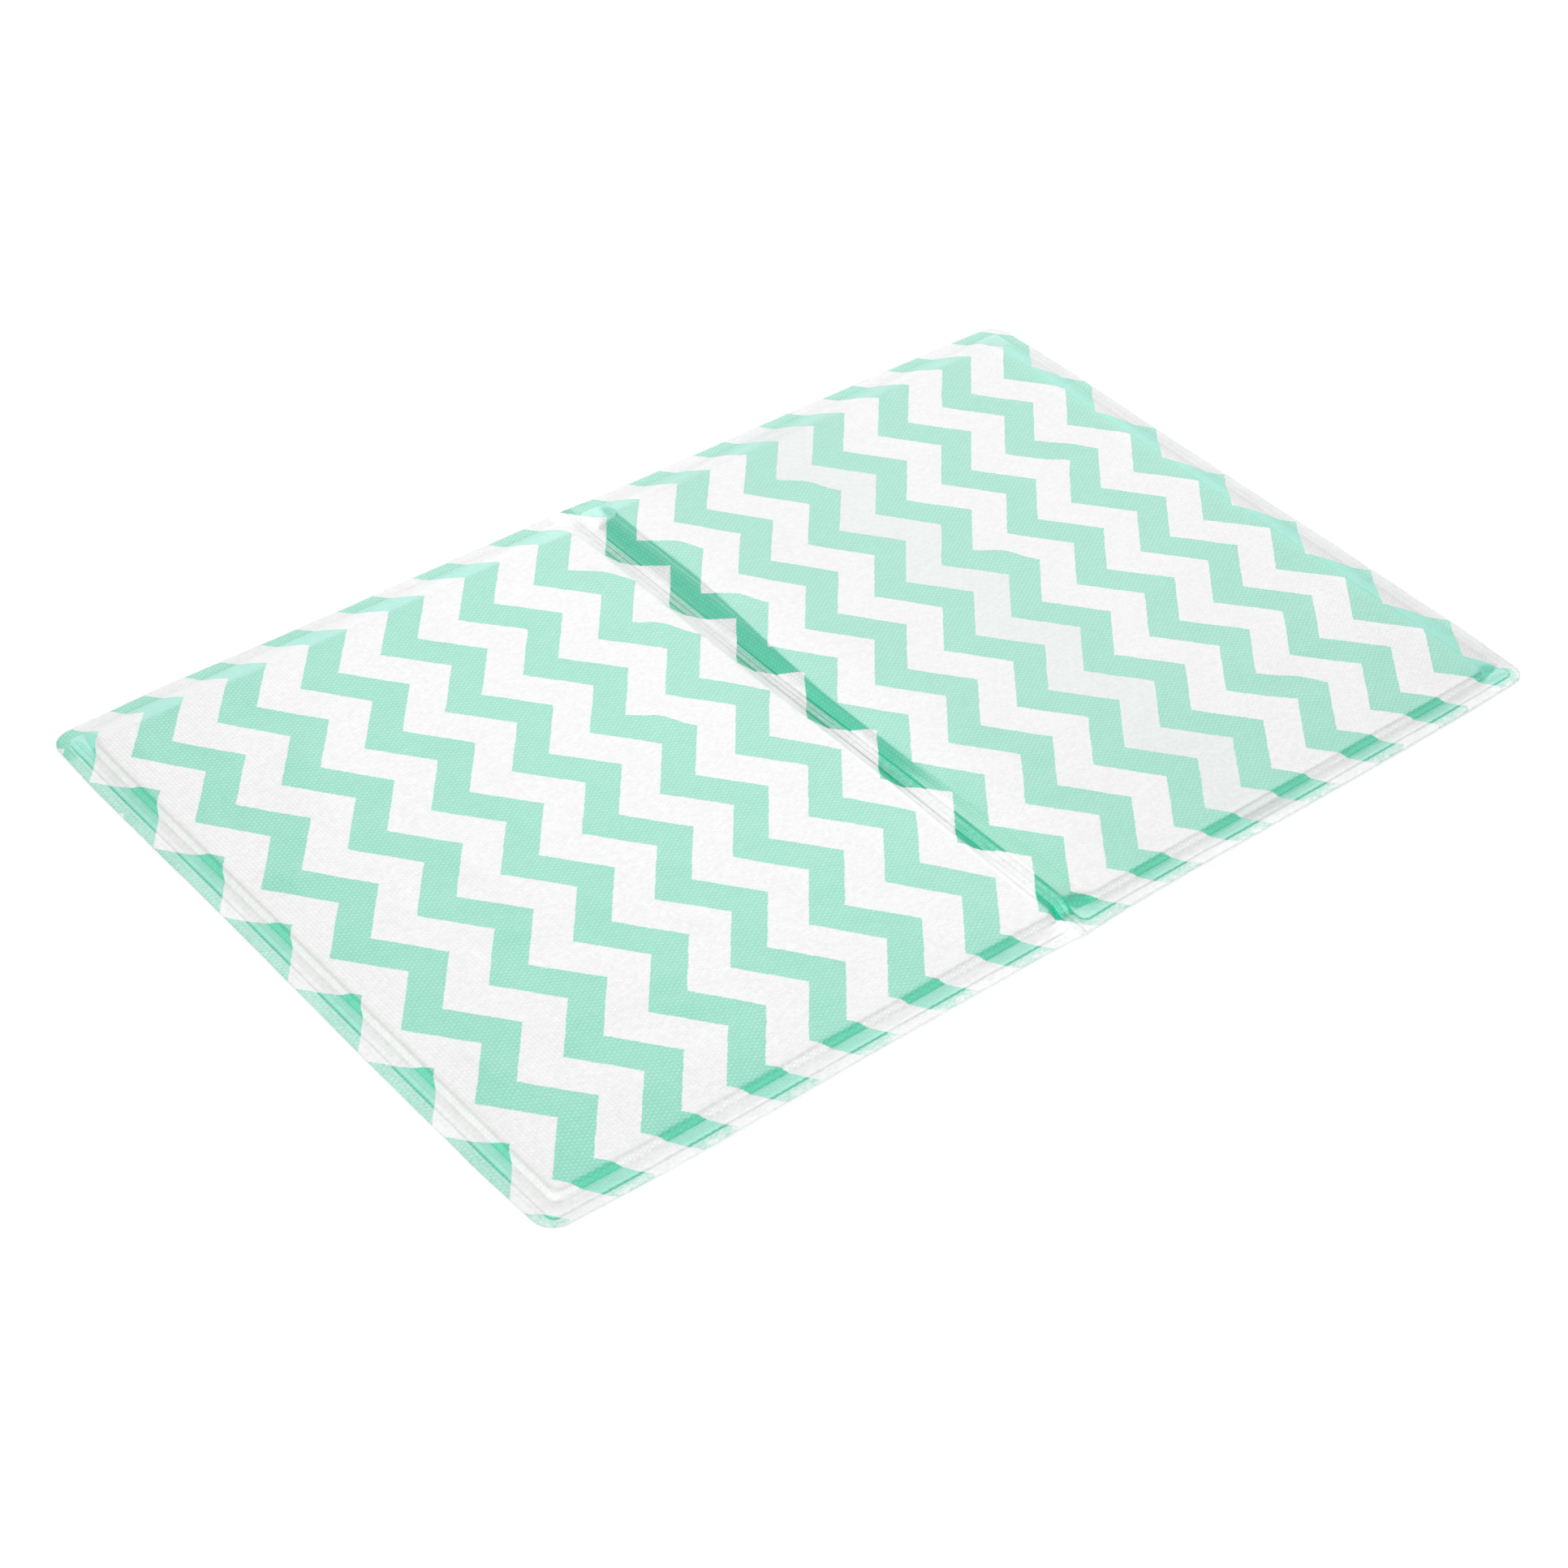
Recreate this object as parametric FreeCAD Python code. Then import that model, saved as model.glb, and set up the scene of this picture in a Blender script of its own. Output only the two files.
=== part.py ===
import FreeCAD, Part
import math
import os

# Two-panel folding gel mat, in millimetres. +X runs along the long side, +Y along
# the fold, +Z up. The origin is the centre of the footprint, on the floor.
#
# Each panel is a welded cell: woven cover and gel-tight film above, film and backing
# cover below, and a gel fill round a foam sheet between them. The four sheets meet in
# a flat welded flange round the cell. A narrow flat web joins the two panels and bends
# along both of its long sides, so the mat closes like a book with the web as its spine.

Vector = FreeCAD.Vector

# overall
LENGTH = 610.0                # X, flange edge to flange edge
WIDTH = 400.0                 # Y
CORNER_R = 12.0               # outer corners of the flange

# sheets
COVER_T = 0.45                # woven cover and backing cover
FILM_T = 0.25                 # gel-tight film
SKIN_T = COVER_T + FILM_T

# heights
FLOOR_Z = 0.0                 # resting face of the cell
TOP_Z = 10.0                  # top of the padded plateau
FLANGE_BOTTOM_Z = 3.0
WELD_Z = FLANGE_BOTTOM_Z + COVER_T + FILM_T    # plane where the two films are fused
FLANGE_TOP_Z = WELD_Z + FILM_T + COVER_T

# cell
INSET = 13.8                  # flange edge to the foot of the wall
SEAM_FOOT = 8.0               # x of the wall foot on the fold side
RUN_TOP = 3.2                 # horizontal run of the upper wall
RUN_BOTTOM = 3.6              # horizontal run of the lower wall
FOOT_R = 9.0                  # corner radius at the foot of the wall
CORNER_TAPER = 0.75           # corner radius lost per unit of wall run
SHOULDER_R = 2.4              # rounding where the upper wall meets the plateau
HEEL_R = 1.6                  # rounding where the lower wall meets the resting face
TOE_R = 0.9                   # rounding where the wall leaves the flange

# fold
HINGE_X = 6.5                 # the bending lines are at x = -HINGE_X and +HINGE_X
WEB_HALF = HINGE_X - 0.75     # the web stops short of the bending lines
PANEL_START = HINGE_X + 0.05  # the flanges start just outside them

# pressed weld line round each cell
WELD_INSET = 7.0              # flange edge to the centre of the line
WELD_SEAM_X = 2.5             # centre of the line beside the fold
WELD_LINE_W = 1.0
WELD_LINE_DEPTH = 0.15
WELD_R = CORNER_R - WELD_INSET
CUT_CLEARANCE = 1.0           # how far a cutting solid runs past what it cuts

# foam sheet inside the gel
FOAM_MARGIN = 9.0             # foot of the wall to the edge of the foam
FOAM_Z0 = 2.4
FOAM_Z1 = TOP_Z - FOAM_Z0
FOAM_R = 6.0                  # corners in plan
FOAM_EDGE_R = 1.0

# edge selection
PLANE_TOLERANCE = 1e-4
BOX_TOLERANCE = 0.01

LEFT, RIGHT = -1, 1           # panel on the -X side, panel on the +X side
UPPER, LOWER = 1, -1          # half of the cell above or below the weld plane

# wall run, flange face height, outer face height, rounding at the outer face
HALVES = {
    UPPER: (RUN_TOP, FLANGE_TOP_Z, TOP_Z, SHOULDER_R),
    LOWER: (RUN_BOTTOM, FLANGE_BOTTOM_Z, FLOOR_Z, HEEL_R),
}


# ---- plan shapes: a box is (x0, x1, y0, y1) ----

def outline(box, z, radii):
    """Closed wire in the plane z. radii are the corner radii in the order
    (x0,y0), (x1,y0), (x1,y1), (x0,y1); a radius of 0 leaves a square corner."""
    x0, x1, y0, y1 = box
    corners = [Vector(x, y, z) for x, y in ((x0, y0), (x1, y0), (x1, y1), (x0, y1))]
    # direction of travel from each corner to the next
    headings = [Vector(1, 0, 0), Vector(0, 1, 0), Vector(-1, 0, 0), Vector(0, -1, 0)]
    starts, middles, ends = [], [], []
    for i, (corner, radius) in enumerate(zip(corners, radii)):
        arriving, leaving = headings[i - 1], headings[i]
        setback = radius * (1.0 - math.sqrt(0.5))
        starts.append(corner - arriving * radius)
        middles.append(corner - arriving * setback + leaving * setback)
        ends.append(corner + leaving * radius)
    edges = []
    for i in range(4):
        if radii[i] > 0:
            edges.append(Part.Arc(starts[i], middles[i], ends[i]).toShape())
        edges.append(Part.makeLine(ends[i], starts[(i + 1) % 4]))
    return Part.Wire(edges)


def slab(box, z0, z1, radii):
    """Upright plate with the given corner radii."""
    return Part.Face(outline(box, z0, radii)).extrude(Vector(0, 0, z1 - z0))


def panel_box(side, near_x, far_x, half_width):
    """Box on one side of the fold, from near_x to far_x away from the centre."""
    x0, x1 = sorted((side * near_x, side * far_x))
    return x0, x1, -half_width, half_width


def cell_box(side, shift):
    """Box of a cell, drawn in by shift from the foot of its wall."""
    return panel_box(side, SEAM_FOOT + shift, LENGTH / 2 - INSET - shift,
                     WIDTH / 2 - INSET - shift)


def edges_at(shape, z, box):
    """The edges of shape that lie in the plane z and inside the box."""
    x0, x1, y0, y1 = box
    found = []
    for edge in shape.Edges:
        bound = edge.BoundBox
        in_plane = (abs(bound.ZMin - z) < PLANE_TOLERANCE
                    and abs(bound.ZMax - z) < PLANE_TOLERANCE)
        in_x = bound.XMin > x0 - BOX_TOLERANCE and bound.XMax < x1 + BOX_TOLERANCE
        in_y = bound.YMin > y0 - BOX_TOLERANCE and bound.YMax < y1 + BOX_TOLERANCE
        if in_plane and in_x and in_y:
            found.append(edge)
    return found


# ---- panels ----

def flange(side, z0, z1):
    """One flange layer: rounded outer corners, square along the fold."""
    box = panel_box(side, PANEL_START, LENGTH / 2, WIDTH / 2)
    if side == LEFT:
        radii = (CORNER_R, 0, 0, CORNER_R)
    else:
        radii = (0, CORNER_R, CORNER_R, 0)
    return slab(box, z0, z1, radii)


def half_cell(side, half, depth, with_flange):
    """The body between the weld plane and the outside of the sheets, with that
    outside drawn in by depth. At SKIN_T the flange has no thickness left."""
    run, face_z, far_z, far_edge_r = HALVES[half]
    slope = math.atan2(abs(far_z - face_z), run)
    # plan shift that draws the sloping wall in by depth, square to its surface
    shift = depth * math.tan(slope / 2)
    foot_z = face_z - half * depth
    far_z -= half * depth
    foot = cell_box(side, shift)
    far = cell_box(side, shift + run)
    foot_r = FOOT_R - shift
    far_r = foot_r - run * CORNER_TAPER
    foot_wire = outline(foot, foot_z, (foot_r,) * 4)
    far_wire = outline(far, far_z, (far_r,) * 4)
    body = Part.makeLoft([foot_wire, far_wire], True, True)  # solid, ruled
    if with_flange:
        z0, z1 = sorted((WELD_Z, foot_z))
        body = flange(side, z0, z1).fuse(body).removeSplitter()
    body = body.makeFillet(far_edge_r - depth, edges_at(body, far_z, far))
    if with_flange:
        body = body.makeFillet(TOE_R + depth, edges_at(body, foot_z, foot))
    return body


def half_layers(side, half):
    """Cover, film and gel of one half of a cell."""
    outside = half_cell(side, half, 0.0, with_flange=True)
    film = half_cell(side, half, COVER_T, with_flange=True)
    gel = half_cell(side, half, SKIN_T, with_flange=False)
    return outside.cut(film), film.cut(gel), gel


def weld_groove(side):
    """The solid that the shallow pressed line round a cell removes."""
    half_line = WELD_LINE_W / 2

    def rounded_slab(grow, z0, z1):
        box = panel_box(side, WELD_SEAM_X - grow, LENGTH / 2 - WELD_INSET + grow,
                        WIDTH / 2 - WELD_INSET + grow)
        return slab(box, z0, z1, (WELD_R + grow,) * 4)

    groove_z = FLANGE_TOP_Z - WELD_LINE_DEPTH
    outer = rounded_slab(half_line, groove_z, FLANGE_TOP_Z + CUT_CLEARANCE)
    inner = rounded_slab(-half_line, groove_z - CUT_CLEARANCE,
                         FLANGE_TOP_Z + 2 * CUT_CLEARANCE)
    return outer.cut(inner)


def foam_core(side):
    """Foam sheet with all its upper and lower edges rounded."""
    box = cell_box(side, FOAM_MARGIN)
    foam = slab(box, FOAM_Z0, FOAM_Z1, (FOAM_R,) * 4)
    rims = edges_at(foam, FOAM_Z0, box) + edges_at(foam, FOAM_Z1, box)
    return foam.makeFillet(FOAM_EDGE_R, rims)


def panel_pieces(side, panel, groove):
    """The six pieces of one panel, by name."""
    top_cover, top_film, upper_gel = half_layers(side, UPPER)
    bottom_cover, bottom_film, lower_gel = half_layers(side, LOWER)
    foam = foam_core(side)
    return {
        panel + "_top_cover": top_cover.cut(groove),
        panel + "_top_film": top_film,
        panel + "_bottom_film": bottom_film,
        panel + "_bottom_cover": bottom_cover,
        panel + "_foam_core": foam,
        panel + "_gel_fill": upper_gel.fuse(lower_gel).removeSplitter().cut(foam),
    }


# ---- web ----

def web_layer(z0, z1):
    return slab((-WEB_HALF, WEB_HALF, -WIDTH / 2, WIDTH / 2), z0, z1, (0, 0, 0, 0))


def web_pieces(left_groove, right_groove):
    """Cover, fused films and backing cover of the web, by name."""
    top = web_layer(WELD_Z + FILM_T, FLANGE_TOP_Z)
    return {
        "web_top_cover": top.cut(left_groove).cut(right_groove),
        "web_weld": web_layer(WELD_Z - FILM_T, WELD_Z + FILM_T),
        "web_bottom_cover": web_layer(FLANGE_BOTTOM_Z, WELD_Z - FILM_T),
    }


# ---- export ----

def export_piece(name, shape):
    """Write the single valid solid in shape."""
    solids = shape.removeSplitter().Solids
    if len(solids) != 1 or not solids[0].isValid():
        raise RuntimeError("%s is not one valid solid" % name)
    solids[0].exportStep("parts/%s.step" % name)


os.makedirs("parts", exist_ok=True)
left_groove = weld_groove(LEFT)
right_groove = weld_groove(RIGHT)
pieces = panel_pieces(LEFT, "left", left_groove)
pieces.update(panel_pieces(RIGHT, "right", right_groove))
pieces.update(web_pieces(left_groove, right_groove))
for name in sorted(pieces):
    export_piece(name, pieces[name])
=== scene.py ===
"""A padded mat of two filled panels joined by a pressed fold, lying open on a studio floor.

The long side runs along X and the fold along Y at x = 0. The left panel is at -X, the near
side at -Y, and the printed face looks up (+Z) with the floor at z = 0.
Lengths are in millimetres unless a comment says otherwise; meshes are written in metres.
"""
import bpy
import math
from functools import partial
from types import SimpleNamespace

import numpy as np
from mathutils import Matrix, Vector


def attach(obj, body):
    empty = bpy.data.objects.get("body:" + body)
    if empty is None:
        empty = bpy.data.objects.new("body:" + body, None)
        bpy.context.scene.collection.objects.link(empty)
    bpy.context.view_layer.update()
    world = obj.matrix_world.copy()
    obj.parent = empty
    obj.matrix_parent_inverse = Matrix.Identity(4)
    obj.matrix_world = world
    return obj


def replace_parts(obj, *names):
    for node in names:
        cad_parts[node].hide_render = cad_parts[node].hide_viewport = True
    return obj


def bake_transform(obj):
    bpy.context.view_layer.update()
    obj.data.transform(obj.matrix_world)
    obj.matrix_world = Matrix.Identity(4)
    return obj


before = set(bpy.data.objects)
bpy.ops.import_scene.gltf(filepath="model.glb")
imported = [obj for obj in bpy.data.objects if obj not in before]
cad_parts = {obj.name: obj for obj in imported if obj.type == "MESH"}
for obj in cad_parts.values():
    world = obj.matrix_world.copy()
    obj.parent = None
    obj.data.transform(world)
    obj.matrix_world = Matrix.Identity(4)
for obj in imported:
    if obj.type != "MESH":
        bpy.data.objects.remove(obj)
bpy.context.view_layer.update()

# ---------------------------------------------------------------------------
# Shared dimensions
# ---------------------------------------------------------------------------
LEFT, RIGHT = -1, 1
PANELS = ((LEFT, "left"), (RIGHT, "right"))

HALF_X, HALF_Y = 305.0, 200.0
CORNER_R = 12.0
FACE_TOP, FACE_BOTTOM = 4.40, 3.00      # outer faces of the flange
COVER_T, FILM_T = 0.45, 0.25
COVER_EXTRA_T = 0.10                    # the printed cover is this much thicker on the plateau
GAP = 0.03                              # between a cover and its film
CELL_R = 8.0                            # corner radius at the foot of the walls
H_TOP = 5.35                            # height of the padded face above the flange
FLOOR_GAP = 0.02                        # underside of the filled cells above the floor

# pressed line round each cell
WELD_INSET, WELD_SEAM_X, WELD_R = 6.8, 3.4, 4.5

# Walls between flange and plateau. Each starts at its foot, inset from the rim, and takes its
# run to reach the plateau; the filling stays the margin inside the foot.
WALL_RUN = 3.3                          # common run that all the walls are scaled to
LIFT = 0.7                              # rise of the flange from the pressed line to a steep wall
FOOT_STEEP, RUN_STEEP, MARGIN_STEEP = 13.2, 2.0, 2.6
FOOT_SOFT, RUN_SOFT, MARGIN_SOFT = 7.6, 13.2, 2.2
OUTER_WALL = {
    LEFT: (FOOT_STEEP, RUN_STEEP, MARGIN_STEEP),
    RIGHT: (FOOT_SOFT, RUN_SOFT, MARGIN_SOFT),
}
NEAR_SHIFT = {LEFT: 0.4, RIGHT: 1.5}    # how far the near wall stands further out than its foot
SEAM_FOOT = {LEFT: 3.9, RIGHT: 3.7}     # foot of the wall beside the fold, from x = 0

# unevenness: random seeds and wavelengths
FACE_SEED = {LEFT: 11, RIGHT: 23}
FACE_WAVES = [58, 74, 95, 120, 150, 66, 48]
HEM_SEED, HEM_WAVES = 5, [33, 47, 61, 88]


# ---------------------------------------------------------------------------
# Curves
# ---------------------------------------------------------------------------
def smooth(t):
    t = np.clip(t, 0.0, 1.0)
    return t * t * (3 - 2 * t)


def ease(value, start, span):
    """0 up to start, 1 from start + span on, smooth between."""
    return smooth((value - start) / span)


def bell(*offsets):
    """Gaussian of offsets given in widths."""
    return np.exp(-sum(offset ** 2 for offset in offsets))


def decay(distance, length):
    """1 at and outside distance 0, falling off exponentially inside."""
    return np.exp(-np.maximum(distance, 0.0) / length)


def softplus(t, sharpness):
    exponent = np.clip(sharpness * t, -60, 30)
    return np.where(sharpness * t > 30, t, np.log1p(np.exp(exponent)) / sharpness)


def wall(t, foot=13.0, shoulder=6.5):
    """0 on the flange, 1 on the plateau: straight, rounded a little at the foot and more at
    the shoulder. A larger foot or shoulder value makes a tighter rounding."""
    rise = 1.0 - softplus(1.0 - softplus(t, foot), shoulder)
    lowest = 1.0 - softplus(1.0, shoulder)
    return np.clip((rise - lowest) / (1.0 - lowest), 0.0, 1.0)


def corner_distance(over_x, over_y, radius):
    """Distance inside a rounded corner; over_x and over_y are measured from its centre."""
    outside = np.hypot(np.maximum(over_x, 0), np.maximum(over_y, 0))
    return radius - (outside + np.minimum(np.maximum(over_x, over_y), 0))


def box_distance(x, y, left, right, near, far, radius):
    """Distance inside a rounded rectangle, positive inside."""
    over_x = np.abs(x - (left + right) / 2) - ((right - left) / 2 - radius)
    over_y = np.abs(y - (near + far) / 2) - ((far - near) / 2 - radius)
    return corner_distance(over_x, over_y, radius)


def lumps(x, y, seed, height, wavelengths):
    """Slow unevenness as a sum of plane waves."""
    random = np.random.RandomState(seed)
    total = np.zeros_like(x)
    for wavelength in wavelengths:
        angle, phase = random.uniform(0, 2 * math.pi), random.uniform(0, 2 * math.pi)
        along = x * math.cos(angle) + y * math.sin(angle)
        total += np.cos(along * 2 * math.pi / wavelength + phase)
    return height * total / len(wavelengths)


def sample(table, column, row, eased=False):
    """Value of a table at fractional column and row numbers."""
    column = np.clip(column, 0, table.shape[1] - 1.001)
    row = np.clip(row, 0, table.shape[0] - 1.001)
    i, j = column.astype(int), row.astype(int)
    across, along = column - i, row - j
    if eased:
        across, along = smooth(across), smooth(along)
    before = table[j, i] * (1 - across) + table[j, i + 1] * across
    after = table[j + 1, i] * (1 - across) + table[j + 1, i + 1] * across
    return before * (1 - along) + after * along


# ---------------------------------------------------------------------------
# Shape of the covers, over nominal plan positions x, y
# ---------------------------------------------------------------------------
def seam_run(y, side):
    """Run of the wall beside the fold."""
    if side == LEFT:
        return 3.4 + 2.2 * ease(y, start=-90.0, span=120.0)
    widening_far = 7.9 * ease(y, start=-10.0, span=130.0)
    widening_near = 5.0 * ease(-y, start=20.0, span=120.0)
    return 4.2 + widening_far + widening_near


def web_rise(x, y):
    """Towards its near end the fold doesn't lie flat: it tips up, its right edge the most."""
    rise = 4.2 * ease(-y, start=-35.0, span=165.0) * wall((y + HALF_Y - 14.5) / 5.0)
    across = 0.70 + 0.30 * ease(x, start=-WELD_SEAM_X, span=2 * WELD_SEAM_X)
    fade = 1.0 - ease(np.abs(x), start=WELD_SEAM_X, span=np.where(x > 0, 26.0, 6.0))
    return rise * across * fade


def mapped(distance, run):
    """Distance from a wall's foot, with its run scaled to the common one."""
    return np.where(distance < run, distance * (WALL_RUN / run), WALL_RUN + distance - run)


def cell_distance(x, y, side):
    """Distance inside the foot of the cell wall, where every wall takes WALL_RUN to climb."""
    from_fold = side * x
    foot, run, _ = OUTER_WALL[side]
    seam = mapped(from_fold - SEAM_FOOT[side], seam_run(y, side))
    outer = mapped(HALF_X - foot - from_fold, run)
    near = mapped(y + HALF_Y - FOOT_STEEP + NEAR_SHIFT[side], RUN_STEEP)
    far = mapped(HALF_Y - FOOT_SOFT - y, RUN_SOFT)
    return corner_distance(
        CELL_R - np.minimum(seam, outer), CELL_R - np.minimum(near, far), CELL_R)


def climb(x, y, side):
    """0 on the flange, 1 on the plateau of the printed face."""
    return wall(cell_distance(x, y, side) / WALL_RUN)


def weld_distance(x, y, side):
    """Distance inside the centre of the pressed line round a cell."""
    near_bulge = 1.1 * ease(-y, start=120.0, span=70.0)
    return box_distance(side * x, y, WELD_SEAM_X, HALF_X - WELD_INSET,
                        -(HALF_Y - WELD_INSET) - near_bulge, HALF_Y - WELD_INSET, WELD_R)


def rim_distance(x, y):
    return box_distance(x, y, -HALF_X, HALF_X, -HALF_Y, HALF_Y, CORNER_R)


def plateau(x, y, side):
    """Height of the padded face above the flange, before the wall profile is applied."""
    from_fold = side * x
    inset = np.minimum(np.minimum(from_fold - 8.0, HALF_X - 15.0 - from_fold),
                       HALF_Y - 15.0 - np.abs(y))
    crown = 0.50 * (1.0 - decay(inset, length=40.0))
    height = H_TOP - 0.30 + crown
    # the filling is a little thinner along the steep walls
    if side == RIGHT:
        from_steep = y + HALF_Y - 15.0
    else:
        from_steep = np.minimum(y + HALF_Y, HALF_X + x) - 15.0
    height = height - 0.7 * decay(from_steep, length=45.0)
    height = height + lumps(x, y, FACE_SEED[side], 0.28, FACE_WAVES)
    if side == RIGHT:
        # fuller against the far half of the fold, lower along its near half
        height = height + 0.35 * bell((x - 34.0) / 26.0, (y - 120.0) / 90.0)
        return height - 0.7 * bell((x - 4.0) / 16.0) * ease(-y, start=40.0, span=90.0)
    lowered = 0.35 + 0.65 * ease(y, start=-110.0, span=120.0)
    return height - 1.2 * bell((x + 8.0) / 20.0) * lowered


# Settled relief of each panel's padded face, filled in by settle(); columns run from the fold
RELIEF = {}
RELIEF_STEP = 5.0
RELIEF_X = np.arange(0.0, HALF_X + 0.1, RELIEF_STEP)
RELIEF_Y = np.arange(-HALF_Y, HALF_Y + 0.1, RELIEF_STEP)


def relief_at(x, y, side):
    if side not in RELIEF:
        return 0.0
    column, row = (
        (place - stations[0]) / (stations[-1] - stations[0]) * (len(stations) - 1)
        for place, stations in ((side * x, RELIEF_X), (y, RELIEF_Y)))
    return sample(RELIEF[side], column, row, eased=True)


def plain_top(x, y, side, relief=0.0):
    """Outside of the printed cover without pressed lines and edges."""
    height = plateau(x, y, side) + relief
    lift = (LIFT * ease(weld_distance(x, y, side), start=0.4, span=6.6)
            * ease(side * x, start=5.0, span=8.0))
    base = web_rise(x, y) + lift
    return FACE_TOP + base + (height - base) * climb(x, y, side)


def hem_sag(x, y, weld):
    """The free hem outside the pressed line hangs and ripples slightly."""
    free = np.clip(-weld / WELD_INSET, 0, 1)
    return (0.12 + lumps(x, y, HEM_SEED, 0.30, HEM_WAVES)) * free ** 1.4


def top_height(x, y, side):
    """Outside of the printed cover."""
    z = plain_top(x, y, side, relief_at(x, y, side))
    weld, rim = weld_distance(x, y, side), rim_distance(x, y)
    soft = 1.0 - 0.85 * climb(x, y, side)
    # where the pressing is shallower: far and right sides, far part of the fold, the rim
    away = np.maximum(ease(y - HALF_Y, start=-16.0, span=6.0),
                      ease(x - HALF_X, start=-16.0, span=6.0))
    away = np.maximum(away, ease(y, start=20.0, span=70.0)
                      * ease(-np.abs(x), start=-12.0, span=4.0))
    away = np.maximum(away, 0.6 * ease(-rim, start=-26.0, span=4.0))
    # pressed line, with the cloth pushed up a little on both sides of it
    groove = -0.26 * bell(weld / 0.5) + 0.07 * bell((np.abs(weld) - 1.3) / 0.6)
    groove = groove * (1.0 - 0.75 * away)
    # ridge along the fold, just right of its middle
    ridge = bell((x - 1.9) / 0.7) * ease(-np.abs(y), start=-(HALF_Y - WELD_INSET - 2), span=4.0)
    z = z + (groove + 0.16 * ridge * (1.0 - 0.75 * away)) * soft
    z = z - hem_sag(x, y, weld)
    # rounded cut edge
    return z - 0.15 * np.exp(-rim / 0.30)


def bottom_height(x, y, side):
    """Outside of the backing cover: flat on the floor under the filling, up to the flange."""
    rise = 0.2 * web_rise(x, y) * (1.0 - ease(np.abs(x), start=3.2, span=2.0))
    drop = wall(cell_distance(x, y, side) / (WALL_RUN * 1.15), foot=9.0, shoulder=4.5)
    weld = weld_distance(x, y, side)
    z = (FACE_BOTTOM + rise) * (1 - drop) + FLOOR_GAP * drop
    z = z + 0.18 * bell(weld / 0.5) * (1.0 - drop)
    z = z - hem_sag(x, y, weld)
    return z + 0.10 * np.exp(-rim_distance(x, y) / 0.30)


def cover_inside(x, y, side):
    return top_height(x, y, side) - COVER_T - COVER_EXTRA_T * climb(x, y, side)


def backing_inside(x, y, side):
    return bottom_height(x, y, side) + COVER_T


def skew(x, y):
    """The fold isn't pressed quite parallel to the short sides."""
    far = 1.2 * ease(y, start=20.0, span=160.0)
    near = 2.3 * ease(-y, start=10.0, span=120.0)
    return (far - near) * bell(x / 30.0)


def plan_warp(x, y):
    """The outline is drawn in at the corners and stands out at both ends of the fold."""
    inset_x, inset_y = HALF_X - np.abs(x), HALF_Y - np.abs(y)
    pull_x = np.sign(x) * np.exp(-inset_x / 14.0)
    pull_y = np.sign(y) * np.exp(-inset_y / 14.0)
    out_x = -1.2 * (1 - ease(inset_y, start=4, span=50.0)) + 0.25 * np.cos(y / 37.0 + 2.0)
    out_y = (bell(x / 17.0) - 1.3 * (1 - ease(inset_x, start=4, span=60.0))
             + 0.22 * np.cos(x / 31.0 + 1.0))
    return x + pull_x * out_x + skew(x, y), y + pull_y * out_y


# ---------------------------------------------------------------------------
# Grids: rings follow the rounded outline near the rim, straight rows and columns elsewhere
# ---------------------------------------------------------------------------
def stations(*spans):
    """Positions from a list of (end, step), starting at 0, with an even number of spans."""
    places = [0.0]
    for end, step in spans:
        count = max(1, int(round((end - places[-1]) / step)))
        places += list(np.linspace(places[-1], end, count + 1)[1:])
    places = np.array(places)
    if (len(places) - 1) % 2:
        middle = (places[-2] + places[-1]) / 2
        places = np.concatenate([places[:-1], [middle], places[-1:]])
    return places


GRID_STEP = 1.65
# distances from the rim, and from x = 0 at the fold
RINGS = stations((0.5, 0.25), (4.9, 0.75), (8.1, 0.30), (11.9, 0.76), (15.6, 0.31), (22.0, 0.91))
SEAM = stations((1.5, 0.5), (3.5, 0.25), (8.6, 0.42), (20.0, 0.62), (24.0, 1.0))
RING_COUNT = len(RINGS) - 1
RING_DEPTH = RINGS[-1]


def ring_corner_point(inset, share):
    """Point a share of the way round the corner of a ring, from the side edge to the near edge."""
    reach = RING_DEPTH - inset
    radius = min(max(CORNER_R - inset, 0.35 * reach), reach)
    straight = reach - radius
    arc = radius * math.pi / 2
    total = 2 * straight + arc
    travel = share * total
    if travel <= straight:
        return inset, RING_DEPTH - travel
    if travel <= straight + arc:
        angle = (travel - straight) / radius
        return (inset + radius - radius * math.cos(angle),
                RING_DEPTH - straight - radius * math.sin(angle))
    return RING_DEPTH - (total - travel), inset


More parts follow.
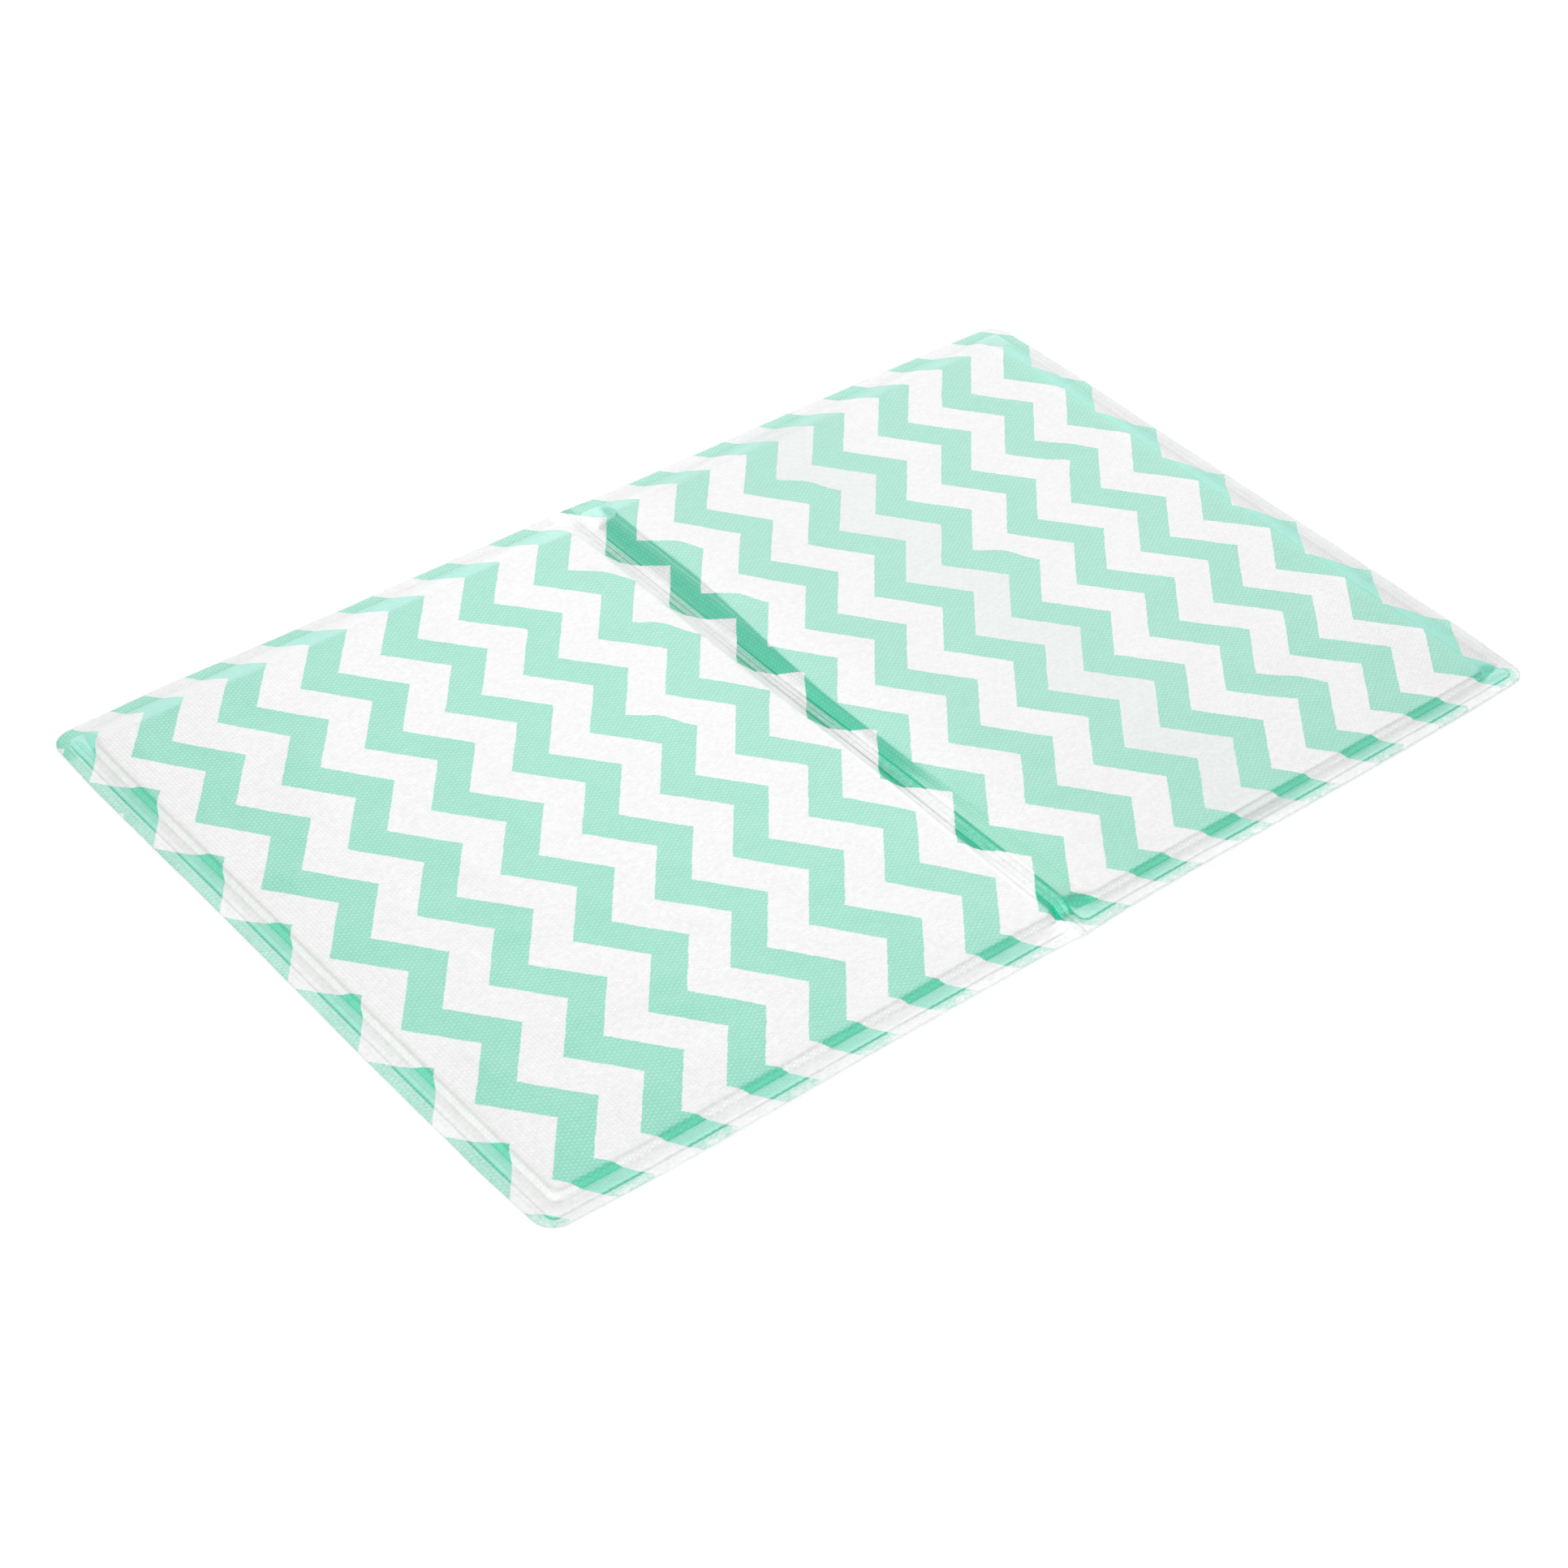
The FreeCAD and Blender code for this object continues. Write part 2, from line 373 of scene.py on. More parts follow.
def panel_grid(side, rim_inset=0.0, every=1):
    """Plan positions of one panel: rows along y, columns from the outer edge to the fold."""
    rings = RINGS.copy()
    rings[0] = rim_inset

    def inner(end):
        count = 2 * int(round((end - RING_DEPTH) / GRID_STEP / 2))
        return np.linspace(RING_DEPTH, end, count + 1)[1:]

    inner_y_count = 2 * int(round((2 * HALF_Y - 2 * RING_DEPTH) / GRID_STEP / 2))
    inner_y = np.linspace(RING_DEPTH, 2 * HALF_Y - RING_DEPTH, inner_y_count + 1)[1:]
    columns = np.concatenate([rings, inner(HALF_X - SEAM[-1]), (HALF_X - SEAM)[::-1][1:]])
    rows = np.concatenate([rings, inner_y, (2 * HALF_Y - rings)[::-1][1:]])
    inset_x, inset_y = np.meshgrid(columns, rows)
    # corner blocks: node (a, b) counted from the inner corner lies on ring max(a, b)
    for a in range(RING_COUNT + 1):
        for b in range(RING_COUNT + 1):
            ring = max(a, b)
            if ring == 0:
                continue
            share = b / (2.0 * ring) if a == ring else 1.0 - a / (2.0 * ring)
            x, y = ring_corner_point(rings[RING_COUNT - ring], share)
            i, near = RING_COUNT - a, RING_COUNT - b
            far = len(rows) - 1 - near
            inset_x[near, i], inset_y[near, i] = x, y
            inset_x[far, i], inset_y[far, i] = x, 2 * HALF_Y - y
    x, y = side * (HALF_X - inset_x), inset_y - HALF_Y
    return x[::every, ::every], y[::every, ::every]


def cut_at_fold(x, y, side, x_min):
    """Drop the columns nearer to the fold than x_min and put the last one on it."""
    keep = side * x[x.shape[0] // 2] > x_min - 0.35
    x, y = x[:, keep].copy(), y[:, keep]
    x[:, -1] = side * x_min
    return x, y


def slab_grid(left, right, near, far, radius, edge, step):
    """Plan positions over a rounded rectangle; edge is the width and step of its fine border."""
    width, fine = edge

    def line(start, end):
        count = max(2, 2 * int(round((end - start - 2 * width) / step / 2)))
        border_places = np.linspace(0, width, int(round(width / fine)) + 1)
        middle = np.linspace(start + width, end - width, count + 1)[1:-1]
        return np.concatenate([start + border_places, middle, end - border_places[::-1]])

    x, y = np.meshgrid(line(left, right), line(near, far))
    core_x = np.clip(x, left + radius, right - radius)
    core_y = np.clip(y, near + radius, far - radius)
    over_x, over_y = x - core_x, y - core_y
    square, reach = np.maximum(np.abs(over_x), np.abs(over_y)), np.hypot(over_x, over_y)
    shrink = np.where(reach > 1e-9, square / np.maximum(reach, 1e-9), 1.0)
    return core_x + over_x * shrink, core_y + over_y * shrink


# ---------------------------------------------------------------------------
# Meshes
# ---------------------------------------------------------------------------
def quads(rows, cols, base, flip):
    j, i = np.meshgrid(np.arange(rows - 1), np.arange(cols - 1), indexing="ij")
    first = base + (j * cols + i).ravel()
    faces = np.stack([first, first + 1, first + cols + 1, first + cols], 1)
    return faces[:, ::-1] if flip else faces


def border(rows, cols):
    """Grid indices round the edge, in order."""
    return np.concatenate([
        np.arange(cols),
        np.arange(1, rows) * cols + cols - 1,
        (rows - 1) * cols + np.arange(cols - 2, -1, -1),
        np.arange(rows - 2, 0, -1) * cols,
    ])


def points(x, y, z):
    return np.stack([x, y, z], -1).reshape(-1, 3)


def make_object(name, verts, faces):
    """Smooth object from verts in millimetres and index arrays of quads or triangles."""
    mesh = bpy.data.meshes.new(name)
    loops = np.concatenate([group.ravel() for group in faces]).astype(np.int32)
    sizes = np.concatenate([np.full(len(group), group.shape[1]) for group in faces])
    starts = np.concatenate([[0], np.cumsum(sizes)[:-1]]).astype(np.int32)
    mesh.vertices.add(len(verts))
    mesh.vertices.foreach_set("co", (verts * 0.001).astype(np.float32).ravel())
    mesh.loops.add(len(loops))
    mesh.loops.foreach_set("vertex_index", loops)
    mesh.polygons.add(len(sizes))
    mesh.polygons.foreach_set("loop_start", starts)
    mesh.update(calc_edges=True)
    mesh.validate()
    mesh.polygons.foreach_set("use_smooth", np.ones(len(mesh.polygons), bool))
    piece = bpy.data.objects.new(name, mesh)
    bpy.context.scene.collection.objects.link(piece)
    return piece


def vertex_places(mesh):
    """Vertex positions in metres, one row each."""
    flat = np.empty(len(mesh.vertices) * 3, np.float32)
    mesh.vertices.foreach_get("co", flat)
    return flat.reshape(-1, 3)


def edge_strip(outer, inner, every):
    """Triangles from the outer border to the inner one, which has every every-th vertex."""
    half = max(every // 2, 1)
    triangles = []
    for m in range(len(inner)):
        first, second = inner[m], inner[(m + 1) % len(inner)]
        for k in range(every):
            start = outer[(m * every + k) % len(outer)]
            end = outer[(m * every + k + 1) % len(outer)]
            triangles.append((start, first if k < half else second, end))
            if k + 1 == half:
                triangles.append((end, first, second))
    return np.array(triangles)


def shell(name, grid, outer, inner, flip=False, every=1):
    """A closed sheet between the height functions outer and inner, each called with (x, y).

    The inner face uses every every-th row and column. Also returns the nominal x and y of
    each vertex and a 1 for those of the inner face.
    """
    x, y = grid
    inner_x, inner_y = x[::every, ::every], y[::every, ::every]
    verts = np.concatenate([
        points(*plan_warp(x, y), outer(x, y)),
        points(*plan_warp(inner_x, inner_y), inner(inner_x, inner_y)),
    ])
    strip = edge_strip(border(*x.shape), x.size + border(*inner_x.shape), every)
    faces = [
        quads(*x.shape, 0, flip),
        quads(*inner_x.shape, x.size, not flip),
        strip[:, ::-1] if flip else strip,
    ]
    nominal = (
        np.concatenate([x.ravel(), inner_x.ravel()]),
        np.concatenate([y.ravel(), inner_y.ravel()]),
        np.concatenate([np.zeros(x.size), np.ones(inner_x.size)]),
    )
    return make_object(name, verts, faces), nominal


def point_attribute(piece, name, *columns):
    """Vector attribute from three columns, each an array or one number."""
    attribute = piece.data.attributes.new(name, "FLOAT_VECTOR", "POINT")
    data = np.stack(np.broadcast_arrays(*columns), 1)
    attribute.data.foreach_set("vector", data.astype(np.float32).ravel())


def cloth_map(piece):
    """Cloth coordinates straight from the vertex positions, in metres."""
    point_attribute(piece, "cloth", *vertex_places(piece.data).T)


# ---------------------------------------------------------------------------
# Filled cloth: a coarse closed skin of each cell is blown up against its pinned rim, and the
# unevenness it settles into is added to the padded face.
# ---------------------------------------------------------------------------
SKIN_STEP = 6
SKIN_FOLD_X = 4.5
SKIN_MIN_T = 1.2
VOXEL = 0.005                           # metres
PIN_INSET, PIN_Z = 2.2, 3.6             # pinned nearer the foot, or lower, than this
FACE_Z = 6.5                            # vertices above this belong to the padded face
SETTLE_FRAMES = 20
CLOTH = dict(
    quality=6,
    mass=0.2,
    tension_stiffness=12.0,
    compression_stiffness=12.0,
    shear_stiffness=4.0,
    bending_stiffness=0.3,
    vertex_group_mass="pins",
    use_pressure=True,
    uniform_pressure_force=4.0,
    shrink_min=-0.03,
    # the foam sheet ties the two faces of the cell together
    use_internal_springs=True,
    internal_spring_max_length=0.014,
    internal_spring_max_diversion=0.6,
    internal_spring_normal_check=True,
    internal_tension_stiffness=15.0,
    internal_tension_stiffness_max=15.0,
    internal_compression_stiffness=15.0,
    internal_compression_stiffness_max=15.0,
)
# relief: blur radii in grid steps, largest gain, height aimed for, and cap
FINE_BLUR, WIDE_BLUR = 1, 9
RELIEF_GAIN, RELIEF_AIM, RELIEF_CAP = 2.0, 0.30, 0.35


def cell_skin(side):
    """Closed skin of one cell, remeshed to even voxels."""
    outer_x, half_y = HALF_X - OUTER_WALL[side][0], HALF_Y - FOOT_STEEP
    columns = np.linspace(SKIN_FOLD_X, outer_x, int((outer_x - SKIN_FOLD_X) / SKIN_STEP))
    x, y = np.meshgrid(columns * side, np.linspace(-half_y, half_y, int(2 * half_y / SKIN_STEP)))
    top = plain_top(x, y, side)
    bottom = np.minimum(bottom_height(x, y, side), top - SKIN_MIN_T)
    upper = border(*x.shape)
    lower = upper + x.size
    ring = np.stack([upper, lower, np.roll(lower, -1), np.roll(upper, -1)], 1)
    skin = make_object("cell_skin", np.concatenate([points(x, y, top), points(x, y, bottom)]), [
        quads(*x.shape, 0, side == LEFT),
        quads(*x.shape, x.size, side == RIGHT),
        ring if side == RIGHT else ring[:, ::-1],
    ])
    remesh = skin.modifiers.new("remesh", "REMESH")
    remesh.mode, remesh.voxel_size = "VOXEL", VOXEL
    depsgraph = bpy.context.evaluated_depsgraph_get()
    even_mesh = bpy.data.meshes.new_from_object(skin.evaluated_get(depsgraph))
    skin.modifiers.clear()
    skin.data = even_mesh
    return skin


def inflated_heights(skin, pinned):
    """Vertex heights after the cloth simulation."""
    pins = skin.vertex_groups.new(name="pins")
    pins.add([int(i) for i in np.nonzero(pinned)[0]], 1.0, "REPLACE")
    cloth = skin.modifiers.new("cloth", "CLOTH")
    for name, value in CLOTH.items():
        setattr(cloth.settings, name, value)
    cloth.settings.effector_weights.gravity = 0.0
    cloth.collision_settings.use_collision = False
    cloth.point_cache.frame_start, cloth.point_cache.frame_end = 1, SETTLE_FRAMES
    for frame in range(1, SETTLE_FRAMES + 1):
        bpy.context.scene.frame_set(frame)
    blown = skin.evaluated_get(bpy.context.evaluated_depsgraph_get())
    heights = vertex_places(blown.to_mesh())[:, 2] * 1000.0
    blown.to_mesh_clear()
    bpy.context.scene.frame_set(1)
    return heights


def blur(table, radius):
    kernel = np.exp(-0.5 * (np.arange(-3 * radius, 3 * radius + 1) / radius) ** 2)
    kernel /= kernel.sum()
    for axis in (0, 1):
        table = np.apply_along_axis(lambda line: np.convolve(line, kernel, "same"), axis, table)
    return table


def settle(side):
    skin = cell_skin(side)
    start = vertex_places(skin.data) * 1000.0
    inset = cell_distance(start[:, 0], start[:, 1], side)
    heights = inflated_heights(skin, (inset < PIN_INSET) | (start[:, 2] < PIN_Z))
    rise = heights - start[:, 2]
    bpy.data.objects.remove(skin)
    # average the rise of the padded face over a regular grid
    top = (start[:, 2] > FACE_Z) & (inset > PIN_INSET)
    i = np.round(side * start[top, 0] / RELIEF_STEP).astype(int)
    j = np.round((start[top, 1] + HALF_Y) / RELIEF_STEP).astype(int)
    i, j = np.clip(i, 0, len(RELIEF_X) - 1), np.clip(j, 0, len(RELIEF_Y) - 1)
    total = np.zeros((len(RELIEF_Y), len(RELIEF_X)))
    count = np.zeros_like(total)
    np.add.at(total, (j, i), rise[top])
    np.add.at(count, (j, i), 1.0)
    # the profile already holds the overall swelling, so only the unevenness is kept
    fine, wide = (blur(total, radius) / np.maximum(blur(count, radius), 1e-6)
                  for radius in (FINE_BLUR, WIDE_BLUR))
    relief = fine - wide
    x, y = np.meshgrid(RELIEF_X, RELIEF_Y)
    inside = np.minimum(np.minimum(x - 14.0, HALF_X - 22.0 - x), HALF_Y - 22.0 - np.abs(y))
    inside = smooth(inside / 14.0)
    largest = np.percentile(np.abs(relief[inside > 0.5]), 98)
    gain = min(RELIEF_GAIN, RELIEF_AIM / max(largest, 1e-3))
    RELIEF[side] = np.clip(relief * gain, -RELIEF_CAP, RELIEF_CAP) * inside


for side in (LEFT, RIGHT):
    settle(side)

# ---------------------------------------------------------------------------
# Print: phases of the zigzag in unrolled cloth coordinates
# ---------------------------------------------------------------------------
# Where the zigzag starts, its periods, its turn in radians, its shear, the middle of the panel
# and the factors of the slow warp terms listed in phases()
PRINT = {
    LEFT: dict(
        start=(35.887, 42.458), period=(45.951, 55.307), turn=-0.010473, shear=-0.015214,
        centre_x=-156.0,
        warp_x=(-0.593, -0.964, 0.492, -0.439, 1.740, -1.340),
        warp_y=(1.691, -3.390, 0.695, -0.297, 4.562, -2.367)),
    RIGHT: dict(
        start=(30.583, 40.654), period=(45.486, 53.471), turn=-0.015057, shear=-0.018775,
        centre_x=156.0,
        warp_x=(0.686, -1.928, -3.623, -0.557, -2.549, 0.691),
        warp_y=(3.120, -1.408, 0.113, -1.983, -0.536, -2.493)),
}
ZIGZAG = 0.498     # peak-to-peak sideways travel of a stripe, in stripe periods
GREEN = 0.468      # share of a period that is printed green

# x, y of places where the cloth was drawn towards the far right; largest pull, its y share and
# the square of its width
DRAWN = [(-64, 34), (-20, 90), (-20, 138), (28, 138), (28, 86), (112, 138), (156, 30),
         (244, 74), (200, -138)]
DRAW_PULL, DRAW_Y_SHARE, DRAW_WIDTH_SQUARED = 3.0, 0.7, 110.0

FOLD_BLEND = 26.0  # width over which the prints of the panels merge at the fold
FINE = 0.25        # step for measuring cloth length


def phases(across, along, side):
    """Stripe and zigzag phase at cloth coordinates."""
    fit = PRINT[side]
    # outside the area the warp was fitted to, it holds its value at the area's edge
    centre = fit["centre_x"]
    a = (np.clip(across, centre - 138, centre + 138) - centre) / 150.0
    b = np.clip(along, -182, 182) / 200.0
    terms = [a * b, a * a, b * b, b ** 3, a * b * b, a * a * b]
    warp_x = sum(factor * term for factor, term in zip(fit["warp_x"], terms))
    warp_y = sum(factor * term for factor, term in zip(fit["warp_y"], terms))
    cos, sin = math.cos(fit["turn"]), math.sin(fit["turn"])
    (start_x, start_y), (period_x, period_y) = fit["start"], fit["period"]
    turned_y = -sin * across + cos * along
    return ((cos * across + sin * along + warp_x - start_x) / period_x,
            (turned_y + warp_y + fit["shear"] * across - start_y) / period_y)


def extra_length(heights, middle):
    """Cloth taken up by slopes along each row of heights, counted from the middle column."""
    growth = np.sqrt(FINE ** 2 + np.diff(heights, axis=1) ** 2) - FINE
    total = np.concatenate([np.zeros((len(heights), 1)), np.cumsum(growth, 1)], 1)
    return total - total[:, middle:middle + 1]


def extra_tables(side):
    """(fine stations, coarse stations, extra cloth length) along x and along y."""
    fine_x = np.arange(0.0, HALF_X + 0.01, FINE) * side
    rows = np.linspace(-170, 170, 35)
    x, y = np.meshgrid(fine_x, rows)
    middle = np.argmin(np.abs(np.abs(fine_x) - 150.0))
    extra_x = side * extra_length(plain_top(x, y, side), middle)
    fine_y = np.arange(-HALF_Y, HALF_Y + 0.01, FINE)
    columns = np.linspace(26, 280, 20) * side
    x, y = np.meshgrid(columns, fine_y, indexing="ij")
    extra_y = extra_length(plain_top(x, y, side), np.argmin(np.abs(fine_y)))
    return (fine_x, rows, extra_x), (fine_y, columns, extra_y)


TABLES = {side: extra_tables(side) for side in (LEFT, RIGHT)}


def lookup(fine, coarse, table):
    fine_places, coarse_places, values = table
    return sample(values, (fine - fine_places[0]) / (fine_places[1] - fine_places[0]),
                  (coarse - coarse_places[0]) / (coarse_places[1] - coarse_places[0]))


def print_phase(x, y, side):
    """Zigzag phases, continuous over the fold, and cloth coordinates at plan positions."""
    table_x, table_y = TABLES[side]
    across = x + lookup(x, y, table_x)
    along = y + lookup(y, x, table_y)
    # the print was there before the fold was pressed, so it doesn't follow the fold's skew
    across = across + skew(x, y)
    for drawn_x, drawn_y in DRAWN:
        squared = (x - drawn_x) ** 2 + (y - drawn_y) ** 2
        pull = DRAW_PULL * np.exp(-squared / DRAW_WIDTH_SQUARED)
        across, along = across - pull, along - DRAW_Y_SHARE * pull
    stripe, zigzag = phases(across, along, side)
    # the other panel's print, carried on over the fold
    at_fold = {panel: lookup(np.zeros_like(y), y, TABLES[panel][0]) for panel in (LEFT, RIGHT)}
    across_other = across - at_fold[side] + at_fold[-side]
    stripe_other, zigzag_other = phases(across_other, along, -side)
    stripe_other = stripe_other + np.round(stripe - stripe_other)
    zigzag_other = zigzag_other + np.round(zigzag - zigzag_other)
    share = 0.5 * (1.0 - smooth(np.abs(x) / FOLD_BLEND))
    return (stripe * (1 - share) + stripe_other * share,
            zigzag * (1 - share) + zigzag_other * share, across, along)


# ---------------------------------------------------------------------------
# Covers
# ---------------------------------------------------------------------------
made = {}


def panel_shell(name, side, grid, outer, inner, up, every=1):
    """A sheet on a panel grid, whose outer face looks up or down."""
    made[name], nominal = shell(name, grid, partial(outer, side=side), partial(inner, side=side),
                                flip=(side == RIGHT) == up, every=every)
    return made[name], nominal


def weld_map(piece, x, y, side):
    point_attribute(piece, "weld", weld_distance(x, y, side), rim_distance(x, y),
                    cell_distance(x, y, side))


def build_covers(side, panel):
    printed, (x, y, inside) = panel_shell(
        panel + "_printed_cover", side, panel_grid(side), top_height, cover_inside,
        up=True, every=2)
    stripe, zigzag, across, along = print_phase(x, y, side)
    point_attribute(printed, "print", stripe, zigzag, inside)
    point_attribute(printed, "cloth", across * 0.001, along * 0.001, 0.0)
    point_attribute(printed, "fold", x, y, 0.0)
    weld_map(printed, x, y, side)
    backing, (x, y, _) = panel_shell(
        panel + "_backing_cover", side, panel_grid(side), bottom_height, backing_inside,
        up=False, every=2)
    point_attribute(backing, "cloth", x * 0.001, y * 0.001, 0.0)
    weld_map(backing, x, y, side)


for side, panel in PANELS:
    build_covers(side, panel)

# ---------------------------------------------------------------------------
# Hidden pieces: liner films, filling, foam sheet and the fused strip in the fold
# ---------------------------------------------------------------------------
STRIP_HALF = 5.1
STRIP_GAP = 0.15                        # between the strip and the films
FILM_RIM_INSET = 0.2
FILL_FOLD_X = {LEFT: 9.0, RIGHT: 13.6}
FILL_R = 7.0
FILL_OVERLAP = 0.16                     # how far the filling reaches into the films
FOAM_X, FOAM_HALF_Y, FOAM_R = (17.0, 282.0), 177.2, 6.0
FOAM_TOP, FOAM_BOTTOM = 7.45, 2.45
FOAM_EDGE, FOAM_EDGE_RUN = 1.1, 0.9     # height and run of its rounded edges
POCKET_SIDE, POCKET_GAP = 0.3, 0.2      # clearance of the pocket round and over the foam


def weld_plane(x, y, side):
    return 0.5 * (cover_inside(x, y, side) + backing_inside(x, y, side))


def top_film_outer(x, y, side):
    return cover_inside(x, y, side) - GAP


def top_film_inner(x, y, side):
    return np.maximum(cover_inside(x, y, side) - GAP - FILM_T, weld_plane(x, y, side) + 0.01)


def bottom_film_outer(x, y, side):
    return backing_inside(x, y, side) + GAP


def bottom_film_inner(x, y, side):
    return np.minimum(backing_inside(x, y, side) + GAP + FILM_T, weld_plane(x, y, side) - 0.01)


def gel_top(x, y, side):
    low, high = bottom_film_inner(x, y, side), top_film_inner(x, y, side)
    return np.maximum(high - FILL_OVERLAP, 0.5 * (low + high) + 0.02)


def gel_bottom(x, y, side):
    low, high = bottom_film_inner(x, y, side), top_film_inner(x, y, side)
    return np.minimum(low + FILL_OVERLAP, 0.5 * (low + high) - 0.02)


def side_span(inner, outer, side):
    """x from left to right of a span given by distances from the fold."""
    return (inner, outer) if side == RIGHT else (-outer, -inner)


def foam_box(side):
    return (*side_span(*FOAM_X, side), -FOAM_HALF_Y, FOAM_HALF_Y)


def foam_rounding(x, y, side):
    inset = box_distance(x, y, *foam_box(side), FOAM_R)
    return FOAM_EDGE * decay(inset, FOAM_EDGE_RUN)


def foam_top(x, y, side):
    swell = 0.45 * (plateau(x, y, side) - H_TOP)
    return (FOAM_TOP + swell - foam_rounding(x, y, side)
            + lumps(x, y, seed=41, height=0.10, wavelengths=[14, 19, 27]))


def foam_bottom(x, y, side):
    return (FOAM_BOTTOM + foam_rounding(x, y, side)
            + lumps(x, y, seed=43, height=0.08, wavelengths=[17, 23, 31]))


def build_liners(side, panel):
    for name, outer, inner, up in (("_top_liner", top_film_outer, top_film_inner, True),
                                   ("_bottom_liner", bottom_film_outer, bottom_film_inner, False)):
        grid = cut_at_fold(*panel_grid(side, FILM_RIM_INSET, every=2), side,
                           STRIP_HALF + STRIP_GAP)
        film, _ = panel_shell(panel + name, side, grid, outer, inner, up)
        cloth_map(film)


def build_filling(side, panel):
    """Filling from foot to foot of the walls, with a pocket for the foam sheet."""
    foot, _, margin = OUTER_WALL[side]
    grid = slab_grid(*side_span(FILL_FOLD_X[side], HALF_X - foot - margin, side),
                     -(HALF_Y - FOOT_STEEP) + MARGIN_STEEP, HALF_Y - FOOT_SOFT - MARGIN_SOFT,
                     FILL_R, edge=(6.0, 0.75), step=3.2)
    filling, _ = shell(panel + "_filling_skin", grid, partial(gel_top, side=side),
                       partial(gel_bottom, side=side))
    left, right, near, far = foam_box(side)

    def over_foam(height, gap):
        return lambda x, y: height(np.clip(x, left, right), np.clip(y, near, far), side) + gap

    grid = slab_grid(left - POCKET_SIDE, right + POCKET_SIDE, near - POCKET_SIDE,
                     far + POCKET_SIDE, FOAM_R + POCKET_SIDE, edge=(3.0, 0.6), step=4.5)
    pocket, _ = shell(panel + "_filling_pocket", grid, over_foam(foam_top, POCKET_GAP),
                      over_foam(foam_bottom, -POCKET_GAP))
    pocket.data.flip_normals()
    parts = [filling, pocket]
    for part in parts:
        part.select_set(True)
    bpy.context.view_layer.objects.active = filling
    with bpy.context.temp_override(active_object=filling, object=filling,
                                   selected_objects=parts, selected_editable_objects=parts):
        bpy.ops.object.join()
    filling.name = panel + "_filling"
    bpy.ops.object.select_all(action="DESELECT")
    cloth_map(filling)
    made[filling.name] = filling


def build_foam(side, panel):
    name = panel + "_foam_sheet"
    grid = slab_grid(*foam_box(side), FOAM_R, edge=(3.0, 0.5), step=4.5)
    made[name], _ = shell(name, grid, partial(foam_top, side=side),
                          partial(foam_bottom, side=side))
    cloth_map(made[name])


def build_strip():
    """The two films fused into one strip in the fold."""
    end, fine_from = 199.6, 184
    rows = np.concatenate([
        np.linspace(-end, -fine_from, 27),
        np.linspace(-fine_from, fine_from, 150)[1:-1],
        np.linspace(fine_from, end, 27),
    ])
    grid = np.meshgrid(np.linspace(-STRIP_HALF, STRIP_HALF, 25), rows)

    def top(x, y):
        return np.where(x < 0, cover_inside(x, y, LEFT), cover_inside(x, y, RIGHT)) - GAP

    def bottom(x, y):
        backing = np.where(x < 0, backing_inside(x, y, LEFT), backing_inside(x, y, RIGHT))
        return np.maximum(backing + GAP, top(x, y) - 2 * FILM_T)

    made["fold_weld_strip"], _ = shell("fold_weld_strip", grid, top, bottom)
    cloth_map(made["fold_weld_strip"])


for side, panel in PANELS:
    build_liners(side, panel)
    build_filling(side, panel)
    build_foam(side, panel)
build_strip()


# ---------------------------------------------------------------------------
# Node graphs
# ---------------------------------------------------------------------------
class Signal:
    """An output socket; arithmetic on it adds Math nodes."""

    def __init__(self, graph, socket):
        self.graph = graph
        self.socket = socket

    def __add__(self, other):
        return self.graph.math("ADD", self, other)

    def __sub__(self, other):
        return self.graph.math("SUBTRACT", self, other)

    def __rsub__(self, other):
        return self.graph.math("SUBTRACT", other, self)

    def __mul__(self, other):
        return self.graph.math("MULTIPLY", self, other)

    def __truediv__(self, other):
        return self.graph.math("DIVIDE", self, other)

    def __abs__(self):
        return self.graph.math("ABSOLUTE", self)

    def scale(self, factor, plus):
        return self.graph.math("MULTIPLY_ADD", self, factor, plus)

    def maximum(self, other):
        return self.graph.math("MAXIMUM", self, other)

    def ramp(self, start, end):
        """0 at start and before it, 1 at end and beyond, smooth between."""
        node = self.graph.node("ShaderNodeMapRange", {
            "Value": self, "From Min": start, "From Max": end}, interpolation_type="SMOOTHSTEP")
        return self.graph.out(node, "Result")


